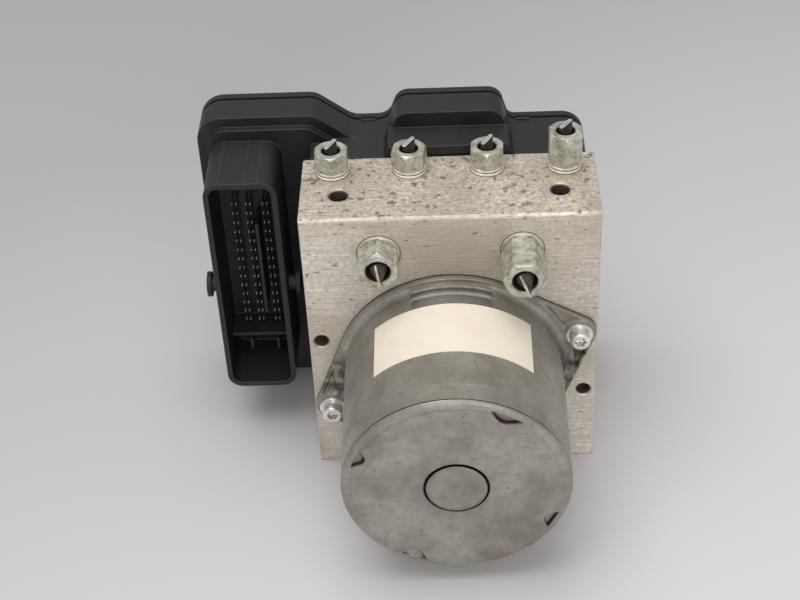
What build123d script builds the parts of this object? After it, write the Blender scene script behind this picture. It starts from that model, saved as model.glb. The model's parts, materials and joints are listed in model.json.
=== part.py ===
from build123d import *
import math
import os

# ABS brake module: a machined valve block with a pump motor on its front face, a plastic control
# unit behind it, and six tube nuts that still hold the pinched ends of the brake pipes.
# Millimetres. X runs to the right, Y to the rear, Z up. The origin is the middle of the valve
# block's underside.

os.makedirs("parts", exist_ok=True)

# ---------------------------------------------------------------- driving dimensions
# Valve block
block_width = 100.0
block_depth = 35.5
block_height = 109.3
block_round = 1.2
block_chamfer = 0.4

# Tapped mounting holes
top_mount_spread = 74.2
top_mount_from_front = 14.2
top_mount_radius = 3.35
top_mount_depth = 16.0
face_mount_reach = 45.7
face_mount_drop = 12.7
face_mount_radius = 2.55
face_mount_depth = 12.0
mount_chamfer = 0.5

# Outlet ports in the top face and inlet ports in the front face
outlet_pitch = 26.4
outlet_from_front = 28.1
outlet_thread_radius = 5.0
outlet_port_depth = 12.0
outlet_across_flats = 11.0
outlet_nut_height = 8.9
outlet_long_nut_height = 14.2
outlet_mouth_radius = 3.25
outlet_pipe_radius = 2.375
inlet_spread = 48.0
inlet_height = 95.0
inlet_thread_radius = 6.0
inlet_port_depth = 13.0
inlet_across_flats = 13.0
inlet_nut_height = 10.3
inlet_long_nut_height = 17.4
inlet_mouth_radius = 4.2
inlet_pipe_radius = 3.0
nut_collar = 1.1
nut_collar_overhang = 0.5
thread_gap = 0.05
pipe_gap = 0.1
pipe_wall = 0.7
pinch_length = 6.0
pinch_thickness = 2.0
pinch_flat = 1.4
cut_slant = 12.0
pipe_flare = 4.0
outlet_nut_turns = (30.0, 18.0, 28.0, 30.0)
outlet_pinch_turns = (57.0, 55.0, 57.0, 49.0)
inlet_pinch_turns = (-79.0, -64.0)
outlet_pinch_reach = 3.0
inlet_pinch_reach = 2.4

# Pump motor
motor_height = 44.5
motor_length = 60.0
can_root_radius = 38.2
can_end_radius = 37.7
can_wall = 1.9
flange_radius = 41.0
flange_thickness = 1.8
flange_pad = 0.8
flange_fillet = 2.2
ear_reach = 46.25
ear_angle = 19.7
ear_radius = 6.0
motor_screw_radius = 2.5
motor_screw_depth = 12.0
motor_screw_head_radius = 3.45
motor_screw_head_height = 3.9
motor_screw_washer_radius = 4.5
motor_screw_washer = 1.2
end_plate_thickness = 3.8
end_plate_round = 3.4
end_spigot = 2.5
end_boss_radius = 10.6
end_boss_rise = 0.5
end_groove_width = 0.8
end_groove_depth = 1.2
stake_radius = 33.0
stake_angles = (60.0, 157.0, 243.0, 333.0)
label_thickness = 0.12
label_from_block = 12.3
label_width = 24.0
label_arc = 86.0

# Motor inside
shaft_radius = 5.0
shaft_nose_radius = 4.0
armature_radius = 26.0
armature_length = 24.0
armature_teeth = 10
magnet_gap = 0.8
magnet_arc = 68.0
commutator_radius = 9.0
commutator_length = 12.0
bearing_radius = 13.0
bearing_width = 8.0
bearing_ring = 2.6
brush_plate_thickness = 3.0
brush_width = 6.0
brush_height = 5.0
brush_length = 11.0

# Eccentric and pump
eccentric_throw = 0.9
eccentric_radius = 5.6
eccentric_width = 9.0
needle_radius = 0.9
needle_count = 10
eccentric_ring_wall = 1.5
pump_from_front = 14.0
pump_piston_radius = 4.0
pump_piston_length = 16.0
pump_sleeve_radius = 6.5
pump_plug_radius = 7.5
pump_plug_length = 9.0
pump_spring_wire = 0.8
running_gap = 0.05

# Low-pressure accumulators in the underside
accumulator_spread = 54.0
accumulator_radius = 10.0
accumulator_depth = 21.5
accumulator_piston_length = 8.0
accumulator_cover = 2.5
accumulator_spring_wire = 1.2
accumulator_stroke = 5.0

# Solenoid valves in the rear face
valve_pitch_x = 24.0
valve_pitch_z = 23.0
valve_low_row = 29.0
valve_radius = 6.0
valve_depth = 12.0
dome_radius = 4.0
dome_wall = 0.7
dome_reach = 15.0
plunger_length = 12.0
plunger_stroke = 0.3
coil_side = 18.6
coil_length = 12.0

# Pressure sensor and motor lead
sensor_height = 91.0
sensor_radius = 6.0
sensor_depth = 8.0
sensor_reach = 12.0
sensor_stem_radius = 2.4
lead_height = 68.5
lead_hole_radius = 3.5
lead_pin_radius = 0.9
lead_pin_spread = 3.6

# Control unit
unit_left = 88.0
unit_right = 48.5
unit_bottom = 3.0
unit_top = 119.0
unit_notch = 109.2
unit_low_top = 107.8
unit_front_wall = 2.2
unit_wall = 2.5
unit_stand_off = 13.0
rim_depth = 12.1
seal_thickness = 0.8
seal_width = 3.0
cover_thickness = 4.9
cover_skin = 2.2
cover_round = 1.4
seam_width = 0.7
seam_depth = 0.8
seam_tab_places = (-28.0, 26.7)
seam_tab_length = 5.0
seam_tab_height = 0.5
ledge_height = 113.0
ledge_left = 20.8
ledge_right = 21.2
bulge_slope = 13.0
bulge_left = 17.2
bulge_right = 18.5
wing_right = 48.2
wing_top_right = 46.5
wing_inset = 3.7
wing_ledge = 2.5

# Plug shroud
shroud_left = 83.8
shroud_width = 25.3
shroud_bottom = 19.5
shroud_height = 91.3
shroud_length = 26.0
shroud_wall = 1.8
shroud_corner = 5.5
shroud_top_ribs = (5.8, 14.6, 19.2)
shroud_bottom_ribs = (16.8, 21.8)
shroud_rib_height = 0.5
shroud_rib_width = 0.9
shroud_floor = 2.5
shroud_cavity_depth = 24.5
web_thickness = 1.2
web_low = 14.6
web_high = 80.9
key_rib_place = 15.4
key_rib_middle = 45.0
key_rib_length = 40.0
key_rib_width = 1.1
web_depth = 12.0
stud_height = 60.5
stud_from_mouth = 10.0
stud_radius = 2.8
stud_head_radius = 4.6
stud_length = 4.2
stud_head = 1.5
pin_rows = 14
pin_pitch = 4.05
pin_low_row = 38.0
pin_side = 0.64
pin_reach = 8.0
pin_columns = (-76.9, -72.0, -66.0)
pin_twin_step = 1.5
blade_width = 4.8
blade_thickness = 0.9
blade_height = 26.2

# Control unit inside
board_from_rim = 4.8
board_thickness = 1.6
unit_screw_spread = 86.8
unit_screw_low = 9.8
unit_screw_high = 92.0
unit_screw_radius = 2.0
unit_screw_depth = 10.0
unit_screw_head_radius = 3.6
unit_screw_head = 2.8
screw_tube_wall = 0.8
screw_tube_bore = 3.7
screw_tube_shoulder = 0.6

# ---------------------------------------------------------------- derived places
front = -block_depth / 2
rear = block_depth / 2
pump_y = front + pump_from_front
outlet_y = front + outlet_from_front
outlet_xs = [(place - 1.5) * outlet_pitch for place in range(4)]
inlet_xs = [-inlet_spread / 2, inlet_spread / 2]
ear_dx = ear_reach * math.cos(math.radians(ear_angle))
ear_dz = ear_reach * math.sin(math.radians(ear_angle))
motor_screw_places = [(ear_dx, motor_height + ear_dz), (-ear_dx, motor_height - ear_dz)]
flange_front = front - flange_thickness - flange_pad
can_front = front - motor_length
unit_front = rear + seal_thickness
rim_front = rear + unit_stand_off
seam = rim_front + rim_depth
cover_rear = seam + cover_thickness
wing_front = rim_front - wing_ledge
shroud_mouth = wing_front - shroud_length
shroud_floor_front = shroud_mouth + shroud_cavity_depth
shroud_middle = -shroud_left + shroud_width / 2
board_front = rim_front + board_from_rim
valve_xs = [(place - 1.5) * valve_pitch_x for place in range(4)]
valve_rows = [valve_low_row + place * valve_pitch_z for place in range(3)]
unit_screw_places = [
    (side * unit_screw_spread / 2, height)
    for side in (-1, 1)
    for height in (unit_screw_low, unit_screw_high)
]
motor_axis = Axis((0, 0, motor_height), (0, 1, 0))
motor_centre = [(0, motor_height)]


# ---------------------------------------------------------------- planes and turned shapes
def facing_front(y):
    """Plane at depth y, looked at from the front: its x runs right, its y up."""
    return Plane(origin=(0, y, 0), x_dir=(1, 0, 0), z_dir=(0, -1, 0))


def facing_rear(y):
    """Plane at depth y, looked at from the rear: its x runs left, its y up."""
    return Plane(origin=(0, y, 0), x_dir=(-1, 0, 0), z_dir=(0, 1, 0))


def facing_side(side, x):
    """Plane at x that looks outward on one side (1 right, -1 left): its x runs along side * Y."""
    return Plane(origin=(x, 0, 0), x_dir=(0, side, 0), z_dir=(side, 0, 0))


def tube(plane, centres, length, outer, inner=0.0, mode=Mode.ADD):
    """Add or cut round bars, rings or bores that rise from the plane by length."""
    with BuildSketch(plane) as section:
        with Locations(*centres):
            Circle(outer)
            if inner:
                Circle(inner, mode=Mode.SUBTRACT)
    extrude(section.sketch, amount=length, mode=mode)


def ring_sector(centre, inner, outer, first_angle, arc):
    """Draw a sector of a ring in the sketch that is open."""
    with BuildLine() as outline:
        outside = CenterArc(centre, outer, first_angle, arc)
        inside = CenterArc(centre, inner, first_angle, arc)
        Line(outside @ 0, inside @ 0)
        Line(outside @ 1, inside @ 1)
    make_face(outline.edges())


def bore(plane, centres, depth, radius, chamfer_width=0.0):
    """Cut round blind holes down from the plane, with a chamfered mouth where asked."""
    tube(plane, centres, -depth, radius, mode=Mode.SUBTRACT)
    if chamfer_width:
        with BuildSketch(plane) as mouth:
            with Locations(*centres):
                Circle(radius + chamfer_width)
        extrude(mouth.sketch, amount=-chamfer_width, taper=45, mode=Mode.SUBTRACT)


# ---------------------------------------------------------------- valve block
accumulator_centres = [(-accumulator_spread / 2, 0), (accumulator_spread / 2, 0)]
accumulator_bore = accumulator_radius + running_gap
cavity_radius = bearing_radius - 1.5
cavity_depth = pump_from_front + eccentric_width / 2 + 2.0
seal_groove_radius = can_root_radius + 0.3
seal_groove_width = 1.6
drilling_radius = 1.6
ball_radius = drilling_radius + 0.4
drilling_y = rear - valve_depth / 2
drilling_length = block_height - outlet_port_depth + 1.0

with BuildPart() as valve_block:
    with BuildSketch(facing_front(front)):
        Rectangle(block_width, block_height, align=(Align.CENTER, Align.MIN))
    extrude(amount=-block_depth)
    sides = valve_block.edges().filter_by(Axis.Z)
    chamfer(sides, block_chamfer)
    top_front = valve_block.edges().filter_by(Axis.X).group_by(Axis.Z)[-1].sort_by(Axis.Y)[0]
    fillet(top_front, block_round)
    # brake pipe ports, each with the cone that the pipe's flare seats on
    top = Plane.XY.offset(block_height)
    bore(top, [(x, outlet_y) for x in outlet_xs], outlet_port_depth, outlet_thread_radius)
    bore(facing_front(front), [(x, inlet_height) for x in inlet_xs], inlet_port_depth,
         inlet_thread_radius)
    # tapped holes that hold the module to its bracket
    bore(top, [(side * top_mount_spread / 2, front + top_mount_from_front) for side in (-1, 1)],
         top_mount_depth, top_mount_radius, mount_chamfer)
    bore(facing_front(front),
         [(-face_mount_reach, motor_height + face_mount_drop),
          (face_mount_reach, motor_height - face_mount_drop)],
         face_mount_depth, face_mount_radius, mount_chamfer)
    # motor seat: screw holes, seal groove, bearing seat, eccentric chamber and lead hole
    bore(facing_front(front), motor_screw_places, motor_screw_depth, motor_screw_radius)
    tube(facing_front(front), motor_centre, -seal_groove_width, seal_groove_radius + 1.0,
         seal_groove_radius - 1.0, mode=Mode.SUBTRACT)
    bore(facing_front(front), motor_centre, bearing_width - 1.0, bearing_radius)
    bore(facing_front(front), motor_centre, cavity_depth, cavity_radius)
    bore(facing_front(front), [(0, lead_height)], block_depth, lead_hole_radius)
    # pump bores from both sides
    for side in (-1, 1):
        side_plane = facing_side(side, side * block_width / 2)
        bore(side_plane, [(side * pump_y, motor_height)], block_width / 2,
             pump_sleeve_radius + running_gap)
        bore(side_plane, [(side * pump_y, motor_height)], pump_plug_length,
             pump_plug_radius + running_gap)
    # accumulator bores from below
    bore(Plane.XY.rotated((180, 0, 0)), accumulator_centres, accumulator_depth, accumulator_bore)
    # valve and sensor bores from the rear
    bore(facing_rear(rear), [(-x, z) for x in valve_xs for z in valve_rows], valve_depth,
         valve_radius)
    bore(facing_rear(rear), [(0, sensor_height)], sensor_depth, sensor_radius)
    bore(facing_rear(rear), [(-x, z) for x, z in unit_screw_places], unit_screw_depth,
         unit_screw_radius)
    # drillings from the outlet ports down past the valves, closed by balls at the underside
    bore(Plane.XY.rotated((180, 0, 0)), [(x, -drilling_y) for x in valve_xs], drilling_length,
         drilling_radius)
    bore(Plane.XY.rotated((180, 0, 0)), [(x, -drilling_y) for x in valve_xs], ball_radius,
         ball_radius)
valve_block.part.label = "valve_block"
export_step(valve_block.part, "parts/valve_block.step")

with BuildPart() as sealing_balls:
    with Locations(*[(x, drilling_y, ball_radius) for x in valve_xs]):
        Sphere(ball_radius - 0.02)
sealing_balls.part.label = "sealing_balls"
export_step(sealing_balls.part, "parts/sealing_balls.step")


# ---------------------------------------------------------------- tube nuts and pipe ends
def tube_nut(flats, height, thread_radius, port_depth, mouth_radius, pipe_radius, turn):
    """A tube nut that points up: shank below Z = 0, collar and hexagon above it."""
    with BuildPart() as nut:
        with BuildSketch():
            RegularPolygon(flats / 2, 6, major_radius=False, rotation=turn)
        extrude(amount=height)
        with BuildSketch(Plane.XZ):
            with BuildLine():
                Polyline((flats / 2 - 0.1, height), (flats / 2 + 2, height),
                         (flats / 2 + 2, height - 1.2), close=True)
            make_face()
        revolve(axis=Axis.Z, mode=Mode.SUBTRACT)
        tube(Plane.XY, [(0, 0)], nut_collar, flats / 2 + nut_collar_overhang)
        tube(Plane.XY, [(0, 0)], pipe_flare - port_depth, thread_radius - thread_gap)
        bore(Plane.XY.offset(height), [(0, 0)], height + port_depth, pipe_radius + pipe_gap)
        bore(Plane.XY.offset(height), [(0, 0)], height * 0.75, mouth_radius, 0.3)
    return nut.part


def pipe_end(radius, port_depth, nut_height, reach, turn):
    """A brake pipe cut off above its nut, pinched flat, with its flare at the port's floor."""
    tip = nut_height + reach
    neck = tip - pinch_length
    with BuildPart() as pipe:
        tube(Plane.XY.offset(-port_depth), [(0, 0)], pipe_flare - pipe_gap, radius + 1.2)
        tube(Plane.XY.offset(-port_depth), [(0, 0)], port_depth + neck, radius)
        with BuildSketch(Plane.XY.offset(neck)):
            Circle(radius)
        with BuildSketch(Plane.XY.offset(tip - pinch_flat)):
            Ellipse(1.5 * radius, pinch_thickness / 2, rotation=turn)
        with BuildSketch(Plane.XY.offset(tip + 1)):
            Ellipse(1.5 * radius, pinch_thickness / 2 - 0.1, rotation=turn)
        loft()
        cut = Plane.XY.offset(tip).rotated((0, cut_slant, turn))
        split(bisect_by=cut, keep=Keep.BOTTOM)
        bore(Plane.XY.offset(neck), [(0, 0)], port_depth + neck, radius - pipe_wall)
    return pipe.part


def outlet_place(number):
    """Where an outlet nut sits: on the top face, facing up."""
    return Plane(origin=(outlet_xs[number], outlet_y, block_height))


def inlet_place(number):
    """Where an inlet nut sits: on the front face, facing the front."""
    return Plane(origin=(inlet_xs[number], front, inlet_height), x_dir=(1, 0, 0),
                 z_dir=(0, -1, 0))


with BuildPart() as short_outlet_nuts:
    for number in range(3):
        with Locations(outlet_place(number)):
            add(tube_nut(outlet_across_flats, outlet_nut_height, outlet_thread_radius,
                         outlet_port_depth, outlet_mouth_radius, outlet_pipe_radius,
                         outlet_nut_turns[number]))
short_outlet_nuts.part.label = "short_outlet_nuts"
export_step(short_outlet_nuts.part, "parts/short_outlet_nuts.step")

with BuildPart() as long_outlet_nut:
    with Locations(outlet_place(3)):
        add(tube_nut(outlet_across_flats, outlet_long_nut_height, outlet_thread_radius,
                     outlet_port_depth, outlet_mouth_radius, outlet_pipe_radius,
                     outlet_nut_turns[3]))
long_outlet_nut.part.label = "long_outlet_nut"
export_step(long_outlet_nut.part, "parts/long_outlet_nut.step")

with BuildPart() as short_inlet_nut:
    with Locations(inlet_place(0)):
        add(tube_nut(inlet_across_flats, inlet_nut_height, inlet_thread_radius,
                     inlet_port_depth, inlet_mouth_radius, inlet_pipe_radius, 30.0))
short_inlet_nut.part.label = "short_inlet_nut"
export_step(short_inlet_nut.part, "parts/short_inlet_nut.step")

with BuildPart() as long_inlet_nut:
    with Locations(inlet_place(1)):
        add(tube_nut(inlet_across_flats, inlet_long_nut_height, inlet_thread_radius,
                     inlet_port_depth, inlet_mouth_radius, inlet_pipe_radius, 0.0))
long_inlet_nut.part.label = "long_inlet_nut"
export_step(long_inlet_nut.part, "parts/long_inlet_nut.step")

for number in range(4):
    nut_height = outlet_long_nut_height if number == 3 else outlet_nut_height
    with BuildPart() as outlet_pipe:
        with Locations(outlet_place(number)):
            add(pipe_end(outlet_pipe_radius, outlet_port_depth, nut_height,
                         outlet_pinch_reach, outlet_pinch_turns[number]))
    outlet_pipe.part.label = f"outlet_pipe_{number + 1}"
    export_step(outlet_pipe.part, f"parts/outlet_pipe_{number + 1}.step")

for number in range(2):
    nut_height = inlet_long_nut_height if number == 1 else inlet_nut_height
    with BuildPart() as inlet_pipe:
        with Locations(inlet_place(number)):
            add(pipe_end(inlet_pipe_radius, inlet_port_depth, nut_height,
                         inlet_pinch_reach, inlet_pinch_turns[number]))
    inlet_pipe.part.label = f"inlet_pipe_{number + 1}"
    export_step(inlet_pipe.part, f"parts/inlet_pipe_{number + 1}.step")


# ---------------------------------------------------------------- pump motor, outside
can_bore_root = can_root_radius - can_wall
can_bore_end = can_end_radius - can_wall
joint_radius = can_end_radius + (can_root_radius - can_end_radius) * end_plate_thickness / motor_length
label_radius_step = 0.02

with BuildPart() as motor_housing:
    # flange plate: a disc with two ears, joined by straight tangents
    with BuildSketch(facing_front(front)) as flange_outline:
        with BuildLine():
            CenterArc((0, motor_height), flange_radius, 0, 360)
            for place in motor_screw_places:
                CenterArc(place, ear_radius, 0, 360)
        make_hull()
    extrude(amount=flange_thickness)
    # raised pad round the can and under the screws
    with BuildSketch(facing_front(front - flange_thickness)) as pad:
        with Locations((0, motor_height)):
            Circle(flange_radius + 1.2)
        with Locations(*motor_screw_places):
            Circle(ear_radius)
        add(flange_outline.sketch.moved(Location((0, -flange_thickness, 0))), mode=Mode.INTERSECT)
    extrude(amount=flange_pad)
    # drawn can: wall with a slight draft, a fillet at the flange and a cut end for the cap
    with BuildSketch(Plane.YZ.offset(0)):
        with BuildLine():
            root = motor_height + can_root_radius
            Line((front, motor_height + can_bore_root), (front, root + flange_fillet))
            Line((front, root + flange_fillet), (flange_front, root + flange_fillet))
            RadiusArc((flange_front, root + flange_fillet), (flange_front - flange_fillet, root),
                      flange_fillet)
            Polyline((flange_front - flange_fillet, root),
                     (can_front + end_plate_thickness, motor_height + joint_radius),
                     (can_front + end_plate_thickness, motor_height + can_bore_end),
                     (front, motor_height + can_bore_root))
        make_face()
    revolve(axis=motor_axis)
    tube(facing_front(flange_front), motor_centre, -(front - flange_front), can_bore_root,
         mode=Mode.SUBTRACT)
    bore(facing_front(flange_front), motor_screw_places, front - flange_front,
         motor_screw_radius + 0.2)
motor_housing.part.label = "motor_housing"
export_step(motor_housing.part, "parts/motor_housing.step")

bush_radius = shaft_nose_radius + 3.0
bush_length = 7.0
with BuildPart() as motor_end_plate:
    tube(facing_front(can_front + end_plate_thickness), motor_centre, end_plate_thickness,
         can_end_radius)
    rim_edge = motor_end_plate.edges().filter_by(GeomType.CIRCLE).sort_by(Axis.Y)[0]
    fillet(rim_edge, end_plate_round)
    # spigot that centres the cap in the can
    tube(facing_rear(can_front + end_plate_thickness), motor_centre, end_spigot,
         can_bore_end - running_gap, can_bore_end - can_wall)
    # groove round the bearing boss, and the boss standing a little proud of the cap
    tube(facing_front(can_front), motor_centre, -end_groove_depth,
         end_boss_radius + end_groove_width, end_boss_radius, mode=Mode.SUBTRACT)
    tube(facing_front(can_front), motor_centre, end_boss_rise, end_boss_radius)
    # stakes pressed into the shoulder
    with BuildSketch(facing_front(can_front)) as stakes:
        for angle in stake_angles:
            across = math.radians(angle)
            with Locations((stake_radius * math.cos(across),
                            motor_height + stake_radius * math.sin(across))):
                SlotOverall(7.0, 1.6, rotation=angle + 90)
    extrude(stakes.sketch, amount=-0.9, mode=Mode.SUBTRACT)
    # bearing cup on the inside
    tube(facing_rear(can_front + end_plate_thickness), motor_centre,
         bush_length - end_plate_thickness + 1, bush_radius + 2)
    bore(facing_rear(can_front + bush_length + 1), motor_centre, bush_length,
         bush_radius)
motor_end_plate.part.label = "motor_end_plate"
export_step(motor_end_plate.part, "parts/motor_end_plate.step")

with BuildPart() as front_bush:
    tube(facing_rear(can_front + 1), motor_centre, bush_length, bush_radius,
         shaft_nose_radius + running_gap)
front_bush.part.label = "front_bush"
export_step(front_bush.part, "parts/front_bush.step")

with BuildPart() as motor_label:
    label_radius = can_root_radius + label_radius_step
    with BuildSketch(facing_front(front - label_from_block)):
        ring_sector((0, motor_height), label_radius, label_radius + label_thickness,
                    90 - label_arc / 2, label_arc)
    extrude(amount=label_width)
motor_label.part.label = "motor_label"
export_step(motor_label.part, "parts/motor_label.step")

with BuildPart() as motor_screws:
    washer_front = flange_front - motor_screw_washer
    tube(facing_front(flange_front), motor_screw_places, motor_screw_washer,
         motor_screw_washer_radius)
    tube(facing_front(washer_front), motor_screw_places, motor_screw_head_height,
         motor_screw_head_radius)
    crowns = motor_screws.edges().filter_by(GeomType.CIRCLE).group_by(Axis.Y)[0]
    fillet(crowns, 0.6)
    with BuildSketch(facing_front(washer_front - motor_screw_head_height)) as sockets:
        with Locations(*motor_screw_places):
            RegularPolygon(2.0, 6)
    extrude(sockets.sketch, amount=-2.4, mode=Mode.SUBTRACT)
    tube(facing_front(flange_front), motor_screw_places,
         -(front - flange_front + motor_screw_depth - 1.0), motor_screw_radius - thread_gap)
motor_screws.part.label = "motor_screws"
export_step(motor_screws.part, "parts/motor_screws.step")

with BuildPart() as motor_seal:
    tube(facing_front(front), motor_centre, -seal_groove_width, seal_groove_radius + 0.95,
         seal_groove_radius - 0.95)
motor_seal.part.label = "motor_seal"
export_step(motor_seal.part, "parts/motor_seal.step")

# ---------------------------------------------------------------- pump motor, inside
brush_plate_rear = front - 3.2
brush_plate_front = brush_plate_rear - brush_plate_thickness
commutator_rear = brush_plate_rear + 1.0
commutator_front = commutator_rear - commutator_length
brush_middle = commutator_front + brush_width / 2 + 1.5
core_rear = commutator_front - 4.0
core_front = core_rear - armature_length
magnet_outer = can_bore_end - 0.15
magnet_inner = armature_radius + magnet_gap
bearing_rear = front + bearing_width - 1.0
bearing_front = bearing_rear - bearing_width
slot_depth = 9.0
slot_radius = 2.6

with BuildPart() as field_magnets:
    with BuildSketch(facing_front(core_rear + 2.0)):
        for quarter in range(4):
            first_angle = 45 + 90 * quarter - magnet_arc / 2
            ring_sector((0, motor_height), magnet_inner, magnet_outer, first_angle, magnet_arc)
    extrude(amount=armature_length + 4.0)
field_magnets.part.label = "field_magnets"
export_step(field_magnets.part, "parts/field_magnets.step")

eccentric_front = pump_y - eccentric_width / 2
eccentric_rear = pump_y + eccentric_width / 2
with BuildPart() as armature_shaft:
    tube(facing_rear(can_front + 1.5), motor_centre, bush_length + 4, shaft_nose_radius)
    tube(facing_rear(can_front + bush_length + 2.5), motor_centre,
         eccentric_front - can_front - bush_length - 2.5, shaft_radius)
    tube(facing_rear(eccentric_front), [(-eccentric_throw, motor_height)], eccentric_width,
         eccentric_radius)
armature_shaft.part.label = "armature_shaft"
export_step(armature_shaft.part, "parts/armature_shaft.step")

with BuildPart() as armature_core:
    tube(facing_front(core_rear), motor_centre, armature_length, armature_radius,
         shaft_radius)
    with BuildSketch(facing_front(core_rear)) as slots:
        with Locations((0, motor_height)):
            with PolarLocations(armature_radius - slot_depth / 2, armature_teeth):
                Rectangle(slot_depth + 0.5, slot_radius * 2)
    extrude(slots.sketch, amount=armature_length, mode=Mode.SUBTRACT)
armature_core.part.label = "armature_core"
export_step(armature_core.part, "parts/armature_core.step")

with BuildPart() as armature_windings:
    # coil sides in the slots, joined by the end turns at both ends of the core
    with BuildSketch(facing_front(core_rear)) as coil_sides:
        with Locations((0, motor_height)):
            with PolarLocations(armature_radius - slot_depth / 2 - 0.6, armature_teeth):
                Rectangle(slot_depth - 1.6, slot_radius * 2 - 0.2)
    extrude(coil_sides.sketch, amount=armature_length)
    tube(facing_rear(core_rear), motor_centre, 3.4, armature_radius - 2, shaft_radius + 1.5)
    tube(facing_front(core_front), motor_centre, 4.5, armature_radius - 2, shaft_radius + 1.5)
armature_windings.part.label = "armature_windings"
export_step(armature_windings.part, "parts/armature_windings.step")

with BuildPart() as commutator:
    tube(facing_front(commutator_rear), motor_centre, commutator_length, commutator_radius,
         shaft_radius)
    with BuildSketch(facing_front(commutator_rear)) as gaps:
        with Locations((0, motor_height)):
            with PolarLocations(commutator_radius, armature_teeth):
                Rectangle(2.0, 0.5)
    extrude(gaps.sketch, amount=commutator_length, mode=Mode.SUBTRACT)
commutator.part.label = "commutator"
export_step(commutator.part, "parts/commutator.step")

with BuildPart() as drive_bearing_outer:
    tube(facing_front(bearing_rear), motor_centre, bearing_width, bearing_radius,
         bearing_radius - bearing_ring)
drive_bearing_outer.part.label = "drive_bearing_outer"
export_step(drive_bearing_outer.part, "parts/drive_bearing_outer.step")

with BuildPart() as drive_bearing_inner:
    tube(facing_front(bearing_rear), motor_centre, bearing_width, shaft_radius + bearing_ring,
         shaft_radius)
drive_bearing_inner.part.label = "drive_bearing_inner"
export_step(drive_bearing_inner.part, "parts/drive_bearing_inner.step")

ball_track = (bearing_radius + shaft_radius) / 2
bearing_ball_radius = (bearing_radius - shaft_radius) / 2 - bearing_ring - running_gap
with BuildPart() as drive_bearing_balls:
    with Locations(facing_front(bearing_rear - bearing_width / 2)):
        with Locations((0, motor_height)):
            with PolarLocations(ball_track, 8):
                Sphere(bearing_ball_radius)
drive_bearing_balls.part.label = "drive_bearing_balls"
export_step(drive_bearing_balls.part, "parts/drive_bearing_balls.step")

needle_track = eccentric_radius + needle_radius + running_gap
ring_inner = needle_track + needle_radius + running_gap
ring_outer = ring_inner + eccentric_ring_wall
eccentric_centre = [(eccentric_throw, motor_height)]
with BuildPart() as eccentric_needles:
    with BuildSketch(facing_front(eccentric_rear - 0.5)):
        with Locations(*eccentric_centre):
            with PolarLocations(needle_track, needle_count):
                Circle(needle_radius)
    extrude(amount=eccentric_width - 1.0)
eccentric_needles.part.label = "eccentric_needles"
export_step(eccentric_needles.part, "parts/eccentric_needles.step")

with BuildPart() as eccentric_ring:
    tube(facing_front(eccentric_rear), eccentric_centre, eccentric_width, ring_outer,
         ring_inner)
eccentric_ring.part.label = "eccentric_ring"
export_step(eccentric_ring.part, "parts/eccentric_ring.step")

brush_inner = commutator_radius + running_gap
brush_outer = brush_inner + brush_length - 3.0
holder_end = brush_outer + 6.5
holder_wall = 1.2
with BuildPart() as brush_plate:
    tube(facing_front(brush_plate_rear), motor_centre, brush_plate_thickness,
         can_bore_root - 0.2, commutator_radius + 1.5)
    for side in (-1, 1):
        with BuildSketch(facing_side(side, side * (commutator_radius + 1.5))) as holder:
            with Locations((side * brush_middle, motor_height)):
                Rectangle(brush_width + 2 * holder_wall, brush_height + 2 * holder_wall)
        extrude(holder.sketch, amount=holder_end + 1.0 - commutator_radius - 1.5)
        with BuildSketch(facing_side(side, side * (commutator_radius - 1))) as channel:
            with Locations((side * brush_middle, motor_height)):
                Rectangle(brush_width + 0.1, brush_height + 0.1)
        extrude(channel.sketch, amount=holder_end - commutator_radius + 1,
                mode=Mode.SUBTRACT)
brush_plate.part.label = "brush_plate"
export_step(brush_plate.part, "parts/brush_plate.step")

with BuildPart() as carbon_brushes:
    for side in (-1, 1):
        with BuildSketch(facing_side(side, side * brush_inner)) as block:
            with Locations((side * brush_middle, motor_height)):
                Rectangle(brush_width, brush_height)
        extrude(block.sketch, amount=brush_outer - brush_inner)
carbon_brushes.part.label = "carbon_brushes"
export_step(carbon_brushes.part, "parts/carbon_brushes.step")

with BuildPart() as brush_springs:
    for side in (-1, 1):
        with BuildSketch(facing_side(side, side * brush_outer)) as leaf:
            with Locations((side * brush_middle, motor_height)):
                Rectangle(brush_width - 1.5, brush_height - 1.5)
                Rectangle(brush_width - 2.5, brush_height - 2.5, mode=Mode.SUBTRACT)
        extrude(leaf.sketch, amount=holder_end - brush_outer)
brush_springs.part.label = "brush_springs"
export_step(brush_springs.part, "parts/brush_springs.step")

with BuildPart() as motor_contact_pins:
    tube(facing_rear(brush_plate_rear),
         [(side * lead_pin_spread / 2, lead_height) for side in (-1, 1)],
         board_front - brush_plate_rear, lead_pin_radius)
motor_contact_pins.part.label = "motor_contact_pins"
export_step(motor_contact_pins.part, "parts/motor_contact_pins.step")

# ---------------------------------------------------------------- pump pistons
sweep_radius = ring_outer + eccentric_throw
piston_inner = sweep_radius + running_gap
piston_outer = piston_inner + pump_piston_length
plug_inner = block_width / 2 - pump_plug_length
sleeve_inner = cavity_radius + 1.0
spring_radius = pump_piston_radius - 0.9
stroke = 2 * eccentric_throw


def coil_spring(length, radius, wire, turns):
    """A coil of square wire that winds up from the origin."""
    with BuildPart() as spring:
        with BuildLine():
            coil = Helix((length - wire) / turns, length - wire, radius)
        with BuildSketch(Plane(origin=coil @ 0, x_dir=(1, 0, 0), z_dir=coil % 0)):
            Rectangle(wire, wire)
        sweep(path=coil, is_frenet=True)
    return spring.part


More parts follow.
